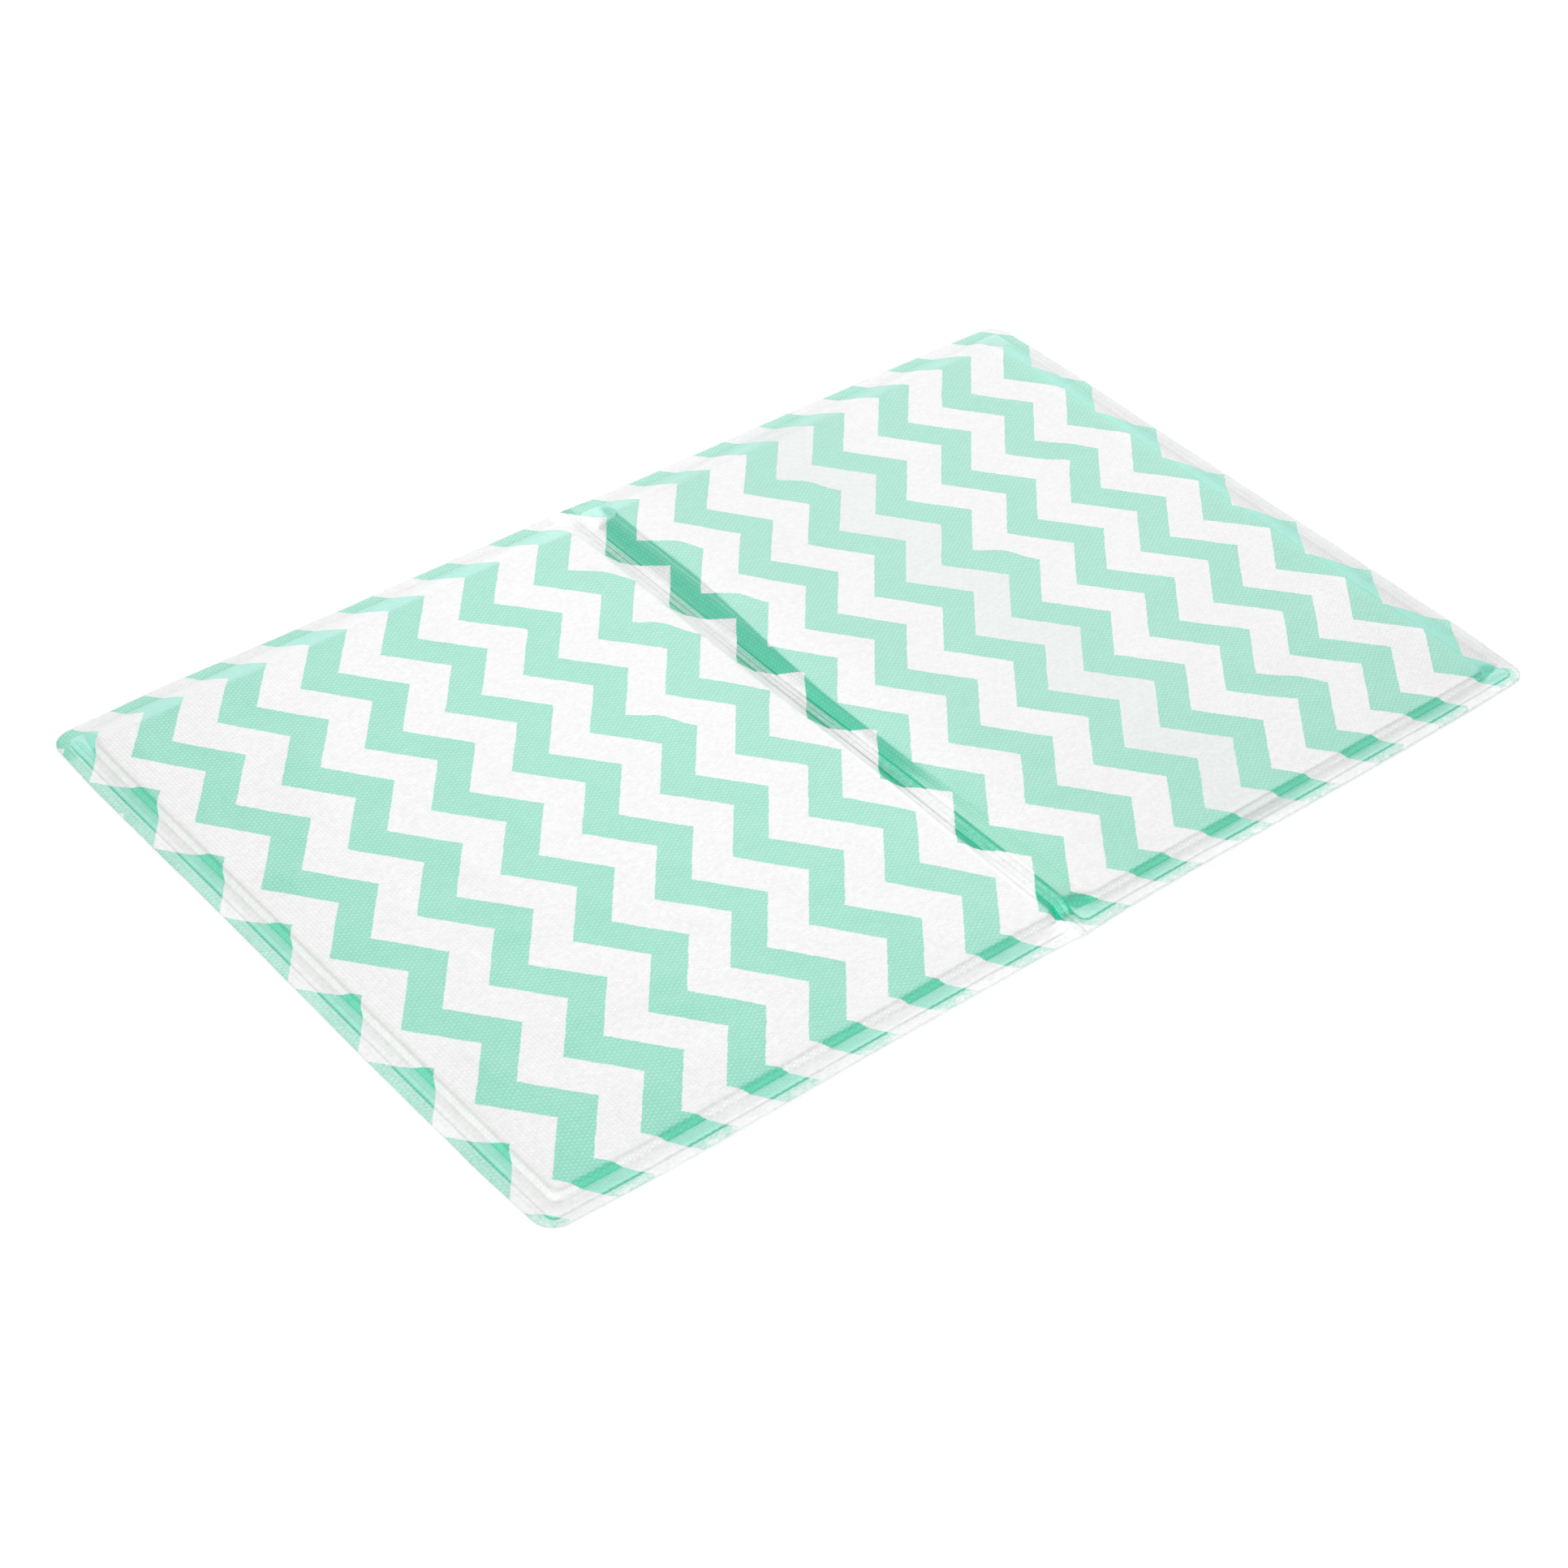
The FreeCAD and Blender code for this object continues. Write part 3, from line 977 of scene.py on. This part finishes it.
class Graph:
    """Builds nodes in one node tree."""

    def __init__(self, tree):
        self.tree = tree

    def feed(self, node, inputs):
        """Link or set inputs; colours are given as three numbers."""
        for key, value in inputs.items():
            socket = node.inputs[key]
            if isinstance(value, Signal):
                self.tree.links.new(value.socket, socket)
            elif socket.type == "RGBA":
                socket.default_value = (*value, 1)
            else:
                socket.default_value = value

    def node(self, kind, inputs=None, **props):
        node = self.tree.nodes.new(kind)
        for name, value in props.items():
            setattr(node, name, value)
        self.feed(node, inputs or {})
        return node

    def out(self, node, key=0):
        return Signal(self, node.outputs[key])

    def math(self, operation, *operands, clamp=False):
        return self.out(self.node("ShaderNodeMath", dict(enumerate(operands)),
                                  operation=operation, use_clamp=clamp))

    def attribute(self, name):
        return self.out(self.node("ShaderNodeAttribute", attribute_name=name), "Vector")

    def axes(self, vector):
        node = self.node("ShaderNodeSeparateXYZ", {0: vector})
        return [self.out(node, i) for i in range(3)]

    def mix(self, factor, first, second, **props):
        node = self.node("ShaderNodeMix", {}, data_type="RGBA", **props)
        self.feed(node, {"Factor": factor, "A": first, "B": second})
        return self.out(node, "Result")

    def noise(self, vector, scale, detail=2.0, rough=0.5):
        return self.out(self.node("ShaderNodeTexNoise", {
            "Vector": vector, "Scale": scale, "Detail": detail, "Roughness": rough}), "Fac")

    def voronoi(self, vector, scale, feature):
        return self.out(self.node("ShaderNodeTexVoronoi", {
            "Vector": vector, "Scale": scale}, feature=feature), "Distance")

    def bump(self, height, strength):
        """Normal from a height in metres."""
        return self.out(self.node("ShaderNodeBump", {
            "Strength": strength, "Distance": 1.0, "Height": height}))


def new_material(name):
    material = bpy.data.materials.new(name)
    material.use_nodes = True
    tree = material.node_tree
    return material, Graph(tree), tree.nodes["Principled BSDF"]


def weave(graph, cloth_x, cloth_y, pitch_x, pitch_y):
    """Plain weave: height 0..1, pinholes at the thread crossings, over and under."""
    wave_x = graph.math("SINE", cloth_x * (math.pi / pitch_x))
    wave_y = graph.math("SINE", cloth_y * (math.pi / pitch_y))
    over = (wave_x * wave_y).scale(0.5, plus=0.5)
    size_x, size_y = abs(wave_x), abs(wave_y)
    crown = graph.math("POWER", size_x * size_y, 0.5)
    hole = size_x.ramp(start=0.70, end=0.15) * size_y.ramp(start=0.70, end=0.15)
    return over.scale(0.45, plus=crown * 0.55), hole, over


# ---------------------------------------------------------------------------
# Printed fabric. Cloth coordinates and thread pitches are in metres; weld, rim, cell and plan_x
# are in millimetres.
# ---------------------------------------------------------------------------
PITCH_X, PITCH_Y = 0.00193, 0.00114
KNURL_PITCH = 0.00165

MINT = (0.150, 0.700, 0.510)
# painted shade in the weave's pits, deeper on the walls
MINT_PIT_SHADE = (0.012, 0.360, 0.190)
# painted shade: deeper mint on the walls beside the fold
MINT_INNER_WALL_SHADE = (0.045, 0.570, 0.325)
# painted shade: deeper mint on the steep near and left walls
MINT_STEEP_WALL_SHADE = (0.045, 0.470, 0.260)
# painted highlight on the far roll-off
MINT_FAR_HIGHLIGHT = (0.290, 0.835, 0.680)
# painted highlight on the right roll-off
MINT_RIGHT_HIGHLIGHT = (0.130, 0.750, 0.575)
# painted highlight on the flange
MINT_FLANGE_HIGHLIGHT = (0.325, 0.840, 0.675)
MINT_LINE = (0.020, 0.560, 0.330)
MINT_KNURL = (0.030, 0.480, 0.290)
# painted shade: a dark band on the near part of the fold, darker still on its knurl
MINT_FOLD_SHADE = (0.020, 0.680, 0.410)
MINT_FOLD_SHADE_KNURL = (0.010, 0.440, 0.260)
WHITE = (0.80, 0.81, 0.80)
# painted shade in the weave's pits, deeper on the walls
WHITE_PIT_SHADE = (0.42, 0.46, 0.44)
# painted light: highlight on the flange and lighter whites on the walls beside the fold
WHITE_PAINTED_LIGHT = (0.94, 0.95, 0.94)
# painted highlight on the far roll-off
WHITE_FAR_HIGHLIGHT = (0.93, 0.94, 0.93)
# painted shade: greyer white on the hem of the far and right sides
WHITE_HEM_SHADE = (0.66, 0.68, 0.67)
# painted shade: greyer white on the left wall
WHITE_LEFT_WALL_SHADE = (0.62, 0.66, 0.63)
WHITE_GREY_STRIPE = (0.68, 0.73, 0.715)
# painted light: lighter whites along the fold
WHITE_FOLD_LIGHT = (0.97, 0.975, 0.97)
LINE_GREY = (0.50, 0.55, 0.53)
BLEACHED = (0.83, 0.85, 0.84)
INNER_FACE = (0.62, 0.66, 0.66)


def printed_fields(graph):
    """Coordinates, weave and the masks that several parts of the printed fabric share."""
    at = SimpleNamespace()
    at.stripe, at.zigzag, at.inner_face = graph.axes(graph.attribute("print"))
    at.cloth = graph.attribute("cloth")
    at.cloth_x, at.cloth_y, _ = graph.axes(at.cloth)
    at.weld, at.rim, at.cell = graph.axes(graph.attribute("weld"))
    at.plan_x = graph.axes(graph.attribute("fold"))[0]
    at.thread, hole, over = weave(graph, at.cloth_x, at.cloth_y, PITCH_X, PITCH_Y)
    at.fibre = graph.noise(at.cloth, scale=2600.0)
    # walls: near the rim and elsewhere they cover different ranges of the cell distance
    at.outer = at.rim.ramp(start=30.0, end=24.0)
    at.inner = 1.0 - at.outer
    low = (at.cell.ramp(start=-0.7, end=0.4) * at.outer
           + at.cell.ramp(start=-3.0, end=0.6) * at.inner)
    high = (at.cell.ramp(start=3.8, end=2.6) * at.outer
            + at.cell.ramp(start=5.2, end=2.9) * at.inner)
    at.slope = low * high
    # darker pits and under-threads of the weave, made deeper on the walls as painted shade
    at.pit = graph.math("ADD", hole * at.slope.scale(0.45, plus=0.35), (1.0 - over) * 0.48,
                        clamp=True)
    # the far and right roll-offs lie flatter and get a painted highlight
    at.far = at.cloth_y.ramp(start=0.176, end=0.181)
    at.right = at.cloth_x.ramp(start=0.280, end=0.286) * (1.0 - at.far)
    at.within = at.weld.ramp(start=0.0, end=0.8) * 0.95
    weaker_right = at.cloth_x.ramp(start=0.0, end=0.06).scale(-0.45, plus=1.0)
    at.veil = (at.far * at.within) * weaker_right
    # the flat flange between the pressed line and a steep wall, which gets a painted highlight
    at.flange = ((at.weld.ramp(start=0.5, end=1.2) * at.cell.ramp(start=0.3, end=-0.6))
                 * (at.outer * 0.85))
    # pressed line, weaker at the far and right sides and along the rim
    line = abs(at.weld).ramp(start=0.62, end=0.22)
    away = at.cloth_y.ramp(start=0.186, end=0.190).maximum(
        at.cloth_x.ramp(start=0.291, end=0.295))
    line = line * away.scale(-0.85, plus=1.0)
    at.line = line * at.outer.scale(-0.45, plus=1.0)
    # knurled dots between the two lines in the fold
    knurl = math.pi / KNURL_PITCH
    at.dots = (abs(graph.math("SINE", at.cloth_x * knurl))
               * abs(graph.math("SINE", at.cloth_y * knurl)))
    at.fold = abs(at.plan_x).ramp(start=4.4, end=3.4)
    # near part of the fold, which gets a dark band of painted shade
    pressed = at.plan_x.ramp(start=-6.6, end=-5.6) * at.plan_x.ramp(start=3.9, end=3.3)
    pressed = pressed * at.cloth_y.ramp(start=0.020, end=-0.050)
    at.pressed = pressed * at.cloth_y.ramp(start=-0.1915, end=-0.188)
    at.hem = at.weld.ramp(start=-0.35, end=-0.85)
    return at


def zigzag_print(graph, at):
    """Stripe level, whose whole numbers count the stripes, and the mask of the green ink."""
    # the printed edges are slightly uneven, thread by thread and more slowly
    jitter = ((graph.noise(at.cloth, scale=950.0, detail=1.0) - 0.5) * 0.030
              + (graph.noise(at.cloth, scale=90.0) - 0.5) * 0.030)
    triangle = abs(graph.math("FRACT", at.zigzag) - 0.5) * 2.0 - 0.5
    level = triangle.scale(ZIGZAG, plus=at.stripe) + jitter
    depth = GREEN / 2 - abs(graph.math("FRACT", level) - 0.5)
    return level, depth.ramp(start=-0.008, end=0.008)


def mint_ink(graph, at):
    steep = at.cloth_y.ramp(start=-0.170, end=-0.176).maximum(
        at.cloth_x.ramp(start=-0.275, end=-0.281))
    # painted shade in the weave's pits, deeper on the walls
    mint = graph.mix(at.pit, MINT, MINT_PIT_SHADE)
    for mask, colour in (
            # painted shade: deeper mint on the walls beside the fold
            (at.slope * (at.inner * 0.30), MINT_INNER_WALL_SHADE),
            # painted shade: deeper mint on the steep near and left walls
            (at.slope * ((at.outer * steep) * 0.55), MINT_STEEP_WALL_SHADE),
            # painted highlight on the far roll-off
            (at.veil, MINT_FAR_HIGHLIGHT),
            # painted highlight on the right roll-off
            (at.right * at.within, MINT_RIGHT_HIGHLIGHT),
            # painted highlight on the flange
            (at.flange, MINT_FLANGE_HIGHLIGHT)):
        mint = graph.mix(mask, mint, colour)
    return mint


def white_ground(graph, at, level):
    outside = at.weld.ramp(start=-0.35, end=-0.85)
    # painted shade: the whites of the left wall are made greyer
    left = at.cloth_x.ramp(start=-0.284, end=-0.288) * (at.slope * 0.45)
    # one unprinted stripe of the right panel is greyer than the rest
    stripe = abs(level - 2.0).ramp(start=0.32, end=0.28)
    stripe = stripe * at.cloth_x.ramp(start=0.030, end=0.034)
    # painted light: lighter whites along the fold
    fold_light = at.plan_x.ramp(start=-11.5, end=-7.0) * at.plan_x.ramp(start=6.0, end=4.0)
    # painted light: the whites on the walls beside the fold are lighter
    white = graph.mix(at.slope * (at.inner * 0.7), WHITE, WHITE_PAINTED_LIGHT)
    for mask, colour in (
            # painted shade in the weave's pits, deeper on the walls
            (at.pit * at.slope.scale(0.45, plus=0.20), WHITE_PIT_SHADE),
            # painted highlight on the flange
            (at.flange, WHITE_PAINTED_LIGHT),
            # painted highlight on the far roll-off
            (at.veil, WHITE_FAR_HIGHLIGHT),
            # painted shade: greyer white on the hem of the far and right sides
            (outside * at.far.scale(0.35, plus=at.right), WHITE_HEM_SHADE),
            # painted shade: greyer white on the left wall
            (left, WHITE_LEFT_WALL_SHADE),
            (stripe * 0.85, WHITE_GREY_STRIPE),
            # painted light: lighter whites along the fold
            (fold_light, WHITE_FOLD_LIGHT)):
        white = graph.mix(mask, white, colour)
    return white


def pressed_marks(graph, at, green, base):
    """Saturated ink on the pressed line and the knurl, and painted shade on the near part of the
    fold.
    """
    knurl = (at.fold * at.dots.ramp(start=0.55, end=0.15)) * green.scale(0.50, plus=0.05)
    pressed_knurl = at.pressed * (green * at.dots.ramp(start=0.60, end=0.20))
    for mask, colour in (
            (at.line * (green * 0.80), MINT_LINE),
            (at.line * 0.03, LINE_GREY),
            (knurl, MINT_KNURL),
            # painted shade on the near part of the fold
            ((at.pressed * green) * 0.85, MINT_FOLD_SHADE),
            (pressed_knurl * 0.40, MINT_FOLD_SHADE_KNURL)):
        base = graph.mix(mask, base, colour)
    return base


def bleached_hem(graph, at, base):
    """Patchy print outside the pressed line, most of all on the near side, and a bare edge."""
    near = at.cloth_y.ramp(start=-0.184, end=-0.192)
    speck = graph.noise(at.cloth, scale=520.0, detail=3.0, rough=0.65).ramp(start=0.42, end=0.62)
    blotch = graph.noise(at.cloth, scale=150.0, detail=3.0, rough=0.6).ramp(start=0.38, end=0.62)
    outward = at.weld.ramp(start=-0.5, end=-5.5)
    strong = near * graph.math("ADD", speck.scale(0.25, plus=0.25), (blotch * outward) * 0.60,
                               clamp=True)
    mild = speck.scale(0.16, plus=0.14) * (1.0 - at.far.maximum(at.right))
    fade = at.hem * strong.maximum(mild)
    cut_edge = at.rim.ramp(start=0.75, end=0.35) * 0.92
    return graph.mix(fade.maximum(cut_edge), base, BLEACHED)


def shaded(graph, at, base):
    """Slow shade variation, slubs, thread-to-thread variation and painted shade over the right
    panel.
    """
    slub = graph.noise(at.cloth, scale=420.0)
    cloud = graph.noise(at.cloth, scale=16.0, detail=3.0)
    thread_cell = graph.node("ShaderNodeCombineXYZ", {
        0: graph.math("FLOOR", at.cloth_x / PITCH_X),
        1: graph.math("FLOOR", at.cloth_y / PITCH_Y)})
    random = graph.out(graph.node("ShaderNodeTexWhiteNoise", noise_dimensions="2D"), "Value")
    graph.feed(random.socket.node, {"Vector": graph.out(thread_cell)})
    shade = cloud.scale(0.05, plus=0.975) * slub.scale(0.07, plus=0.965)
    shade = shade * random.scale(0.09, plus=0.955)
    # painted shade: the right panel is darker away from its rim
    right_shade = at.cloth_x.ramp(start=0.0, end=0.060) * at.cloth_x.ramp(start=0.286, end=0.272)
    right_shade = right_shade * at.rim.ramp(start=14.0, end=20.0)
    shade = shade * right_shade.scale(-0.075, plus=1.0)
    grey = graph.out(graph.node("ShaderNodeCombineColor", {0: shade, 1: shade, 2: shade}))
    return graph.mix(1.0, base, grey, blend_type="MULTIPLY")


def printed_material():
    material, graph, surface = new_material("printed_fabric_visual")
    at = printed_fields(graph)
    level, green = zigzag_print(graph, at)
    base = graph.mix(green, white_ground(graph, at, level), mint_ink(graph, at))
    base = pressed_marks(graph, at, green, base)
    base = bleached_hem(graph, at, base)
    base = shaded(graph, at, base)
    # pressed ink loses its shine
    dull = (at.line * green).maximum(at.fold * 0.5).maximum(at.pressed * green)
    # the weave is flattened in the pressed line and the hem
    flat = at.line.maximum(at.hem * 0.6)
    thread = at.thread * (1.0 - flat * 0.8)
    height = thread * 0.00012 + (at.dots * at.fold) * 0.00010
    height = height + at.fibre * 0.00002
    graph.feed(surface, {
        "Base Color": graph.mix(at.inner_face, base, INNER_FACE),
        "Roughness": at.fibre.scale(0.10, plus=0.29),
        "IOR": 1.8,
        "Specular IOR Level": 1.0 - dull * 0.92,
        "Sheen Weight": (at.pressed * green).scale(-0.11, plus=0.12),
        "Sheen Roughness": 0.45,
        "Normal": graph.bump(height, strength=0.8),
    })
    return material


# ---------------------------------------------------------------------------
# Other materials
# ---------------------------------------------------------------------------
def backing_material():
    """Finer weave with slow clouds, light scuffs under the cells and a pale cut edge."""
    material, graph, surface = new_material("backing_fabric_visual")
    cloth = graph.attribute("cloth")
    cloth_x, cloth_y, _ = graph.axes(cloth)
    weld, rim, cell = graph.axes(graph.attribute("weld"))
    thread, hole, over = weave(graph, cloth_x, cloth_y, pitch_x=0.0012, pitch_y=0.0009)
    fibre = graph.noise(cloth, scale=2200.0)
    cloud = graph.noise(cloth, scale=11.0, detail=3.0)
    pit = graph.math("ADD", hole * 0.6, (1.0 - over) * 0.2, clamp=True)
    scuff = graph.noise(cloth, scale=55.0, detail=4.0, rough=0.7).ramp(start=0.62, end=0.78)
    scuff = scuff * cell.ramp(start=5.0, end=9.0)
    base = graph.mix(pit, (0.34, 0.66, 0.56), (0.20, 0.48, 0.40))
    base = graph.mix(scuff * 0.18, base, (0.55, 0.62, 0.60))
    base = graph.mix(cloud * 0.16, base, (0.45, 0.72, 0.63))
    base = graph.mix(rim.ramp(start=0.75, end=0.35) * 0.90, base, BLEACHED)
    line = abs(weld).ramp(start=0.75, end=0.25)
    height = (thread * (1.0 - line * 0.7)) * 0.00016
    graph.feed(surface, {
        "Base Color": base,
        "Roughness": fibre.scale(0.18, plus=0.55),
        "Sheen Weight": 0.3,
        "Normal": graph.bump(height, strength=0.8),
    })
    return material


def film_material():
    """Matt, slightly milky liner film with a fine blush and flow lines."""
    material, graph, surface = new_material("liner_film_visual")
    cloth = graph.attribute("cloth")
    blush = graph.noise(cloth, scale=60.0, detail=4.0, rough=0.6)
    flow = graph.out(graph.node("ShaderNodeTexWave", {
        "Vector": cloth, "Scale": 90.0, "Distortion": 3.0, "Detail": 2.0},
        wave_type="BANDS", bands_direction="X"), "Fac")
    base = graph.mix(blush, (0.70, 0.77, 0.77), (0.82, 0.86, 0.86))
    graph.feed(surface, {
        "Base Color": graph.mix(flow * 0.12, base, (0.60, 0.70, 0.71)),
        "Roughness": blush.scale(0.20, plus=0.22),
        "Normal": graph.bump(flow.scale(0.00003, plus=blush * 0.00006), strength=0.5),
    })
    return material


def gel_material():
    """Clear-to-cloudy gel with small trapped bubbles."""
    material, graph, surface = new_material("gel_visual")
    cloth = graph.attribute("cloth")
    cloud = graph.noise(cloth, scale=28.0, detail=4.0, rough=0.6)
    bubble = graph.voronoi(cloth, scale=170.0, feature="F1").ramp(start=0.22, end=0.12)
    base = graph.mix(cloud, (0.30, 0.62, 0.70), (0.48, 0.76, 0.80))
    graph.feed(surface, {
        "Base Color": graph.mix(bubble * 0.55, base, (0.80, 0.90, 0.92)),
        "Roughness": cloud.scale(0.14, plus=0.10),
        "Coat Weight": 0.4,
        "Normal": graph.bump(bubble.scale(0.00020, plus=cloud * 0.00040), strength=0.6),
    })
    return material


def foam_material():
    """Open-cell foam: cells, a few larger pores and slow yellowing."""
    material, graph, surface = new_material("foam_visual")
    cloth = graph.attribute("cloth")
    strut = graph.voronoi(cloth, scale=1100.0, feature="DISTANCE_TO_EDGE")
    strut = strut.ramp(start=0.16, end=0.04)
    pore = graph.noise(cloth, scale=240.0, detail=3.0, rough=0.6).ramp(start=0.62, end=0.72)
    age = graph.noise(cloth, scale=9.0, detail=3.0)
    base = graph.mix(age, (0.78, 0.74, 0.62), (0.84, 0.82, 0.74))
    base = graph.mix((1.0 - strut) * 0.30, base, (0.52, 0.48, 0.38))
    graph.feed(surface, {
        "Base Color": graph.mix(pore * 0.5, base, (0.40, 0.37, 0.30)),
        "Roughness": age.scale(0.10, plus=0.85),
        "Normal": graph.bump(strut * 0.00020 - pore * 0.00035, strength=0.8),
    })
    return material


# ---------------------------------------------------------------------------
# What each piece wears, replaces and moves with
# ---------------------------------------------------------------------------
def dress(piece, material):
    piece.data.materials.append(material)


def bend_at_fold(piece):
    """Bake the world transform of the left and right piece into their meshes; places in metres."""
    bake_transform(made["left" + piece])
    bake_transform(made["right" + piece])


printed_fabric, backing_fabric = printed_material(), backing_material()
for _, panel in PANELS:
    dress(made[panel + "_printed_cover"], printed_fabric)
    dress(made[panel + "_backing_cover"], backing_fabric)
for cover, level in (("_printed_cover", "top_cover"), ("_backing_cover", "bottom_cover")):
    for _, panel in PANELS:
        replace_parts(made[panel + cover], panel + "_" + level, "web_" + level)
    bend_at_fold(cover)

film, gel, foam = film_material(), gel_material(), foam_material()
# piece, CAD piece it replaces, material, slot
HIDDEN = (
    ("_top_liner", "_top_film", film, "liner_film"),
    ("_bottom_liner", "_bottom_film", film, "liner_film"),
    ("_filling", "_gel_fill", gel, "gel"),
    ("_foam_sheet", "_foam_core", foam, "foam"),
)
for _, panel in PANELS:
    for piece, replaced, material, slot in HIDDEN:
        dress(made[panel + piece], material)
        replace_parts(made[panel + piece], panel + replaced)
    for piece in ("_filling", "_foam_sheet"):
        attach(made[panel + piece], panel + "_panel")
for piece in ("_top_liner", "_bottom_liner"):
    bend_at_fold(piece)
dress(made["fold_weld_strip"], film)
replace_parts(made["fold_weld_strip"], "web_weld")
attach(made["fold_weld_strip"], "fold_web")


# ---------------------------------------------------------------------------
# Camera, light and floor; places and sizes in metres
# ---------------------------------------------------------------------------
def add_camera(place, yaw, pitch, roll, lens, shift_x):
    """Camera looking along yaw (from +X towards +Y) and pitch, rolled about its view, in
    radians; the lens is in millimetres."""
    forward = Vector((math.cos(pitch) * math.cos(yaw), math.cos(pitch) * math.sin(yaw),
                      math.sin(pitch)))
    level = forward.cross(Vector((0, 0, 1))).normalized()
    upright = level.cross(forward)
    right = math.cos(roll) * level + math.sin(roll) * upright
    up = -math.sin(roll) * level + math.cos(roll) * upright
    data = bpy.data.cameras.new("photo_camera")
    camera = bpy.data.objects.new("photo_camera", data)
    bpy.context.scene.collection.objects.link(camera)
    pose = Matrix((right, up, -forward)).transposed().to_4x4()
    pose.translation = place
    camera.matrix_world = pose
    data.sensor_fit = "HORIZONTAL"
    data.sensor_width = 36.0
    data.lens = lens
    data.shift_x = shift_x
    data.clip_start, data.clip_end = 0.01, 50.0
    bpy.context.scene.camera = camera


def add_area(name, place, size, power, shine=True):
    """White area light aimed at the middle of the mat; without shine reflections skip it."""
    data = bpy.data.lights.new(name, "AREA")
    data.shape = "RECTANGLE"
    data.size, data.size_y = size
    data.energy = power
    data.color = (1, 1, 1)
    light = bpy.data.objects.new(name, data)
    light.location = place
    light.rotation_mode = "QUATERNION"
    light.rotation_quaternion = Vector(place).to_track_quat("Z", "Y")
    bpy.context.scene.collection.objects.link(light)
    light.visible_glossy = shine


def build_world():
    """An even room, with a bright sweep low behind the mat that only reflections pick up."""
    world = bpy.data.worlds.new("studio")
    bpy.context.scene.world = world
    world.use_nodes = True
    graph = Graph(world.node_tree)
    view = graph.out(graph.node("ShaderNodeTexCoord"), "Generated")
    ahead = graph.out(graph.node("ShaderNodeVectorMath", {0: view, 1: (0.673, 0.740, 0.0)},
                                 operation="DOT_PRODUCT"), "Value")
    height = graph.axes(view)[2]
    sweep = ahead.ramp(start=0.30, end=0.75) * height.ramp(start=0.42, end=0.24)
    glossy = graph.out(graph.node("ShaderNodeLightPath"), "Is Glossy Ray")
    graph.feed(world.node_tree.nodes["Background"], {
        "Color": (1, 1, 1),
        "Strength": (glossy * sweep).scale(0.95, plus=0.255),
    })


def floor_material():
    """Mostly self-lit to the camera, so only the contact shadow shows, and brighter still in
    reflections."""
    material, graph, surface = new_material("studio_floor")
    graph.feed(surface, {
        "Base Color": (0.92, 0.92, 0.92), "Roughness": 0.9, "Specular IOR Level": 0.1})
    path = graph.node("ShaderNodeLightPath")
    seen, glossy = graph.out(path, "Is Camera Ray"), graph.out(path, "Is Glossy Ray")
    glow = graph.node("ShaderNodeEmission", {"Strength": glossy.scale(0.90, plus=1.06)})
    mixer = graph.node("ShaderNodeMixShader", {
        0: glossy.scale(0.90, plus=seen * 0.96), 1: graph.out(surface), 2: graph.out(glow)})
    graph.feed(material.node_tree.nodes["Material Output"], {"Surface": graph.out(mixer)})
    return material


def build_floor():
    bpy.ops.mesh.primitive_plane_add(size=30.0, location=(0, 0, -0.0002))
    floor = bpy.context.active_object
    floor.name = "studio_floor"
    floor.data.materials.append(floor_material())


add_camera(place=(-0.842657, -0.950387, 1.037974), yaw=0.833334, pitch=-0.705711,
           roll=0.056909, lens=77.27277, shift_x=-0.03261853)
add_area("back_softbox", place=(4.064, 4.466, 5.248), size=(5.6, 3.8), power=172.0)
add_area("front_key", place=(-3.589, -3.232, 1.294), size=(3.0, 1.3), power=325.0, shine=False)
add_area("back_strip", place=(2.60, 2.86, 1.05), size=(3.6, 0.34), power=12.0)
add_area("rear_fill", place=(5.06, 5.56, 2.90), size=(6.4, 2.2), power=330.0, shine=False)
build_world()
build_floor()

view_settings = bpy.context.scene.view_settings
view_settings.view_transform = "Standard"
view_settings.look = "None"
view_settings.exposure = 0.0
